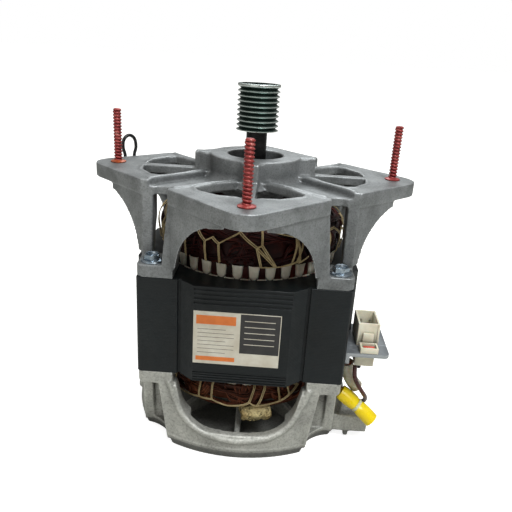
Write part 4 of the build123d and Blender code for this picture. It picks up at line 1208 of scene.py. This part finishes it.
def cuff_pieces():
    """Ring of cuffs standing out of the slots at each end."""
    for place, level, face in (("upper", STATOR_TOP, 1.0), ("lower", STATOR_BOTTOM, -1.0)):
        name = f"{place}_cuffs"
        shape = held("cuff", cuff_mesh())
        sizes = {"Count": CUFFS, "Reach": CUFF_RADIUS * MM, "Level": level * MM, "Face": face}
        growth = Growth(name + "_tree", sizes)
        size = growth.size
        ring = growth.node("GeometryNodeMeshCircle", {"Vertices": size["Count"], "Radius": size["Reach"]})
        where = growth.node("GeometryNodeInputPosition", {})
        heading = growth.node("FunctionNodeAlignEulerToVector", {"Vector": where}, axis="X", pivot_axis="Z")
        cuff = growth.node("GeometryNodeObjectInfo", {"Object": shape}).node.outputs["Geometry"]
        scale = growth.node("ShaderNodeCombineXYZ", {"X": 1.0, "Y": 1.0, "Z": size["Face"]})
        spread = growth.node("GeometryNodeInstanceOnPoints", {
            "Points": ring, "Instance": cuff, "Rotation": heading, "Scale": scale,
        })
        lift = growth.node("ShaderNodeCombineXYZ", {"Z": size["Level"]})
        placed = growth.node("GeometryNodeTransform", {"Geometry": spread, "Translation": lift})
        last = growth.node("GeometryNodeRealizeInstances", {"Geometry": placed})
        if face < 0:
            last = growth.node("GeometryNodeFlipFaces", {"Mesh": last})
        mesh = growth.grow(name, "liner", last)
        mesh.transform(Matrix.Rotation(CUFF_TURN, 4, "Z"))
        bpy.data.objects.remove(shape)
        dressed(name, mesh, "liner")


# Lacing: knots as angle from the front and height above the stack, and the cords between them
UPPER_KNOTS = {
    "a": (-36, 33), "b": (-29.3, 32.9), "c": (-23.5, 27.2), "d": (-19.4, 30.4), "e": (-15.3, 27.0),
    "f": (-11.0, 30.7), "g": (-4.3, 35.3), "h": (5.4, 26.5), "i": (8.2, 28.0), "j": (8.5, 38.4),
    "k": (-23.4, 11.5), "l": (-14.9, 12.6), "m": (8.6, 10.6), "n": (17.5, 10.2), "o": (28.2, 33.0),
    "p": (26.6, 14.6), "q": (31.5, 13.6), "r": (36.6, 17.0), "s": (22.0, 12.0), "t": (29.5, 14.4),
    "u": (32.4, 32.0), "v": (-44, 26), "w": (-47, 12), "x": (-38, 12),
}
UPPER_CORDS = (
    "abcdefghi", "ij", "ck", "el", "hm", "in", "hn", "op", "oq", "ut", "mnstqr", "jo", "av", "vw", "ax",
)
LOWER_KNOTS = {
    "a": (-45, 12.4), "b": (-42.8, 25.8), "c": (-35.5, 27.6), "d": (-24.4, 9.9), "e": (-24.8, 25.4),
    "f": (-16.2, 24.5), "g": (-6.3, 28.8), "h": (2.9, 26.0), "i": (-16.6, 9.3), "j": (9.8, 9.5),
    "k": (6.3, 23.4), "l": (16.3, 10.0), "m": (11.2, 27.5), "n": (38.6, 14.1), "o": (31.7, 20.3),
    "p": (25.2, 24.6), "q": (24.0, 10.0), "r": (30.0, 10.4),
}
LOWER_CORDS = ("abc", "ce", "de", "efgh", "if", "jk", "lm", "hkm", "mpon", "qp", "ro", "ql", "nr")
CORD_STEPS = 8
CORD_RADIUS = 0.42


def lacing_lines(ends, knots, cords):
    """Doubled cords drawn tight over the wires from knot to knot."""
    lines = []
    for cord in cords:
        for first, last in zip(cord, cord[1:]):
            start = Vector(knots[first])
            end = Vector(knots[last])
            for apart in (-CORD_RADIUS, CORD_RADIUS):
                line = []
                for step in range(CORD_STEPS + 1):
                    share = step / CORD_STEPS
                    angle, level = start.lerp(end, share)
                    level = max(min(level, ends.height - 1), 9.8)
                    rise = 0.9 + 0.3 * math.sin(math.pi * share)
                    line.append(ends.place(math.radians(angle - 90) + apart / ends.rim, level + apart, -rise))
                lines.append(line)
    return lines


def lacing_piece(place, knots, cords):
    """The same lacing at each quarter of the motor."""
    quarter = lacing_lines(EndTurns(place), knots, cords)
    lines = []
    for turn in QUARTERS:
        spin = Matrix.Rotation(math.radians(turn), 3, "Z")
        lines += [[spin @ point for point in line] for line in quarter]
    wire_piece(f"{place}_lacing", "cord", lines, CORD_RADIUS * MM, 6)


# Creases in the protector's cover where the cord passes: place along it, width and depth
CREASES = ((11.0, 1.1, 1.0), (19.0, 1.0, 0.8))
PROTECTOR_LIFT = 3.6


def protector_piece():
    """Soft covered lump tied up against the lower turns."""
    mesh = run_soft("protector_cover", copied("thermal_protector"), 0.45 * MM, 12)
    for vertex in mesh.vertices:
        swell = 1.5 + noise.noise(vertex.co * 150) * 1.9 + noise.noise(vertex.co * 420) * 0.4
        for place, width, depth in CREASES:
            swell -= depth * math.exp(-((vertex.co.x / MM - place) / width) ** 2)
        vertex.co += vertex.normal * swell * MM
        vertex.co.z += PROTECTOR_LIFT * MM
    dressed("protector_cover", mesh, "cover", ("thermal_protector",))


winding_piece("upper", 7)
winding_piece("lower", 11)
sleeve_piece()
cuff_pieces()
lacing_piece("upper", UPPER_KNOTS, UPPER_CORDS)
lacing_piece("lower", LOWER_KNOTS, LOWER_CORDS)
protector_piece()


# Leads, sleeves and loop

BROWN_ROUTE = (
    (87.4, -58.0, -133.2), (87.4, -58.0, -142.2), (91.6, -58.0, -150.8), (96.5, -56.5, -158.3),
    (100.4, -51.0, -165.5), (101.2, -44.8, -173.5), (95.5, -41.0, -177.0), (87.5, -38.0, -172.0),
    (78.5, -36.8, -164.0), (69.5, -38.0, -159.0),
)
CREAM_ROUTE = ((82.0, -50.0, -135.1), (84.6, -47.5, -150.5), (93.0, -44.5, -160.0))
STUB_ROUTE = ((90.5, -49.0, -132.4), (91.0, -49.2, -136.5), (92.2, -49.8, -139.6))
SLEEVE_START = Vector((80.0, -51.0, -162.0)) * MM
SLEEVE_END = Vector((105.5, -60.0, -180.5)) * MM
SLEEVE_STEPS = 39
SLEEVE_BOW = 1.2
TIE_SHARE = 0.52

# Black wire loop: along the edge of the far ear and up, from the foot of the loop
LOOP_FOOT = Vector((-105.989, 29.117, 0.0))
LOOP_ALONG = Vector((-0.71011, -0.70409, 0.0))
LOOP_ROUTE = (
    (-3.8, -9.4), (-3.8, 0.6), (-6.4, 6.0), (-5.2, 14.2), (0.4, 17.4), (5.6, 13.8), (6.3, 6.4), (3.8, 0.4),
    (3.8, -9.4),
)


def metres(route):
    return [Vector(point) * MM for point in route]


def between(start, end, count):
    return [start.lerp(end, index / (count - 1)) for index in range(count)]


def free_lead(name, finish, node, route, radius):
    """Lead as a round cord along its smooth line, both of its ends at the motor."""
    piece = dressed(name, cord_mesh(name, route, radius, 16), finish, (node,))
    path = smooth_route(route)


def sleeve_shell(name, line, radius, wall, squeeze, sides=28):
    """Open sleeve with a wall along a line; squeeze gives its two half widths by share of length."""
    bm = bmesh.new()
    last = len(line) - 1
    outer = []
    inner = []
    for index, place in enumerate(line):
        along = (line[min(index + 1, last)] - line[max(index - 1, 0)]).normalized()
        level = Vector((-along.y, along.x, 0)).normalized()
        rise = along.cross(level)
        wide, tall = squeeze(index / last)
        for rings, reach in ((outer, radius), (inner, radius - wall)):
            ring = []
            for turn in turns(sides):
                away = level * (math.cos(turn) * wide) + rise * (math.sin(turn) * tall)
                ring.append(bm.verts.new(place + away * reach))
            rings.append(ring)
    for rings in (outer, inner):
        for low, high in zip(rings, rings[1:]):
            joined(bm, low, high)
    for end in (0, -1):
        joined(bm, outer[end], inner[end])
    bmesh.ops.recalc_face_normals(bm, faces=bm.faces)
    return mesh_of(bm, name, 0.9)


def pinched(share):
    """Half widths of the yellow sleeve, nipped in by the tie."""
    nip = math.exp(-((share - TIE_SHARE) / 0.07) ** 2)
    flat = 1.06 + 0.05 * math.sin(share * 5)
    return flat - 0.16 * nip, 0.86 - 0.12 * nip + 0.05 * math.sin(share * 9)


def sleeve_and_tie():
    """Yellow and cream sleeves, and the cable tie with its head behind the yellow one."""
    line = between(SLEEVE_START, SLEEVE_END, SLEEVE_STEPS + 1)
    for index, point in enumerate(line):
        point.z += SLEEVE_BOW * MM * math.sin(math.pi * index / SLEEVE_STEPS)
    sleeve = sleeve_shell("yellow_sleeve_tube", line, 6.4 * MM, 0.8 * MM, pinched, 36)
    dressed("yellow_sleeve_tube", sleeve, "yellow", ("lead_sleeve",))
    cream_line = smooth_route(metres(CREAM_ROUTE))
    cream = sleeve_shell("cream_sleeve_tube", cream_line, 5.2 * MM, 0.7 * MM, lambda share: (1, 1))
    dressed("cream_sleeve_tube", cream, "cream", ("cream_sleeve",))
    middle = SLEEVE_START.lerp(SLEEVE_END, TIE_SHARE) + Vector((0, 0, SLEEVE_BOW)) * MM
    half_band = (SLEEVE_END - SLEEVE_START).normalized() * 1.1 * MM
    band = between(middle - half_band, middle + half_band, 4)
    tie = sleeve_shell("nylon_tie", band, 6.5 * MM, 0.7 * MM, lambda share: (0.98, 0.80), 40)
    dressed("nylon_tie", tie, "tie", ("sleeve_tie",))
    back = middle + Vector((2.0, 6.6, -1.2)) * MM
    low = back - Vector((2.2, 1.2, 1.8)) * MM
    high = back + Vector((2.2, 1.4, 1.8)) * MM
    dressed("tie_head", rounded_block("tie_head", low, high, 0.5 * MM), "tie")


def lead_pieces():
    """Leads at the connector and the loop at the left ear."""
    free_lead("brown_lead_wire", "brown", "brown_lead", metres(BROWN_ROUTE), 1.7 * MM)
    sleeve_and_tie()
    softened("red_lead", "red", 0.1)
    stub = cord_mesh("black_stub", metres(STUB_ROUTE), 1.5 * MM, 12)
    dressed("black_stub", stub, "black")
    loop = [LOOP_FOOT + LOOP_ALONG * sideways + Vector((0, 0, level)) for sideways, level in LOOP_ROUTE]
    free_lead("black_loop", "black", "wire_loop", metres(loop), 1.35 * MM)


lead_pieces()


# Plain sticker on the front panel, with coloured fields and no words

STICKER_LEFT = -34.0
STICKER_RIGHT = 27.5
STICKER_LOW = STATOR_TOP - 60
STICKER_HIGH = STATOR_TOP - 18.5


def sticker_fields():
    """Every field: name, finish, its two sides, its two levels and how proud it stands, in millimetres."""
    left, right, low, high = STICKER_LEFT, STICKER_RIGHT, STICKER_LOW, STICKER_HIGH
    fields = [
        ("sticker_paper", "sticker_white", left, right, low, high, 0.12),
        ("sticker_band", "sticker_orange", left + 2, left + 30, high - 10, high - 3, 0.16),
        ("sticker_foot", "sticker_orange", left + 2, left + 30, low + 2.5, low + 6, 0.16),
        ("sticker_block", "sticker_dark", left + 33, right - 0.5, low + 10, high - 0.5, 0.16),
    ]
    for index in range(7):
        level = high - (14 + index * 3.1)
        end = left + 3 + (26 if index % 3 else 20)
        fields.append((f"sticker_rule_{index}", "sticker_rule", left + 3, end, level, level + 0.5, 0.15))
    for index in range(5):
        name = f"sticker_line_{index}"
        level = high - (6 + index * 4.6)
        fields.append((name, "sticker_white", left + 36, right - 4, level, level + 0.6, 0.2))
    return fields


def sticker_piece():
    for name, finish, start, end, low, high, proud in sticker_fields():
        front = Vector((start, -PANEL_FACE - proud, low)) * MM
        back = Vector((end, -PANEL_FACE + 0.3, high)) * MM
        mesh = rounded_block(name, front, back, min(0.08, proud * 0.5) * MM, 1)
        dressed(name, mesh, finish)


sticker_piece()
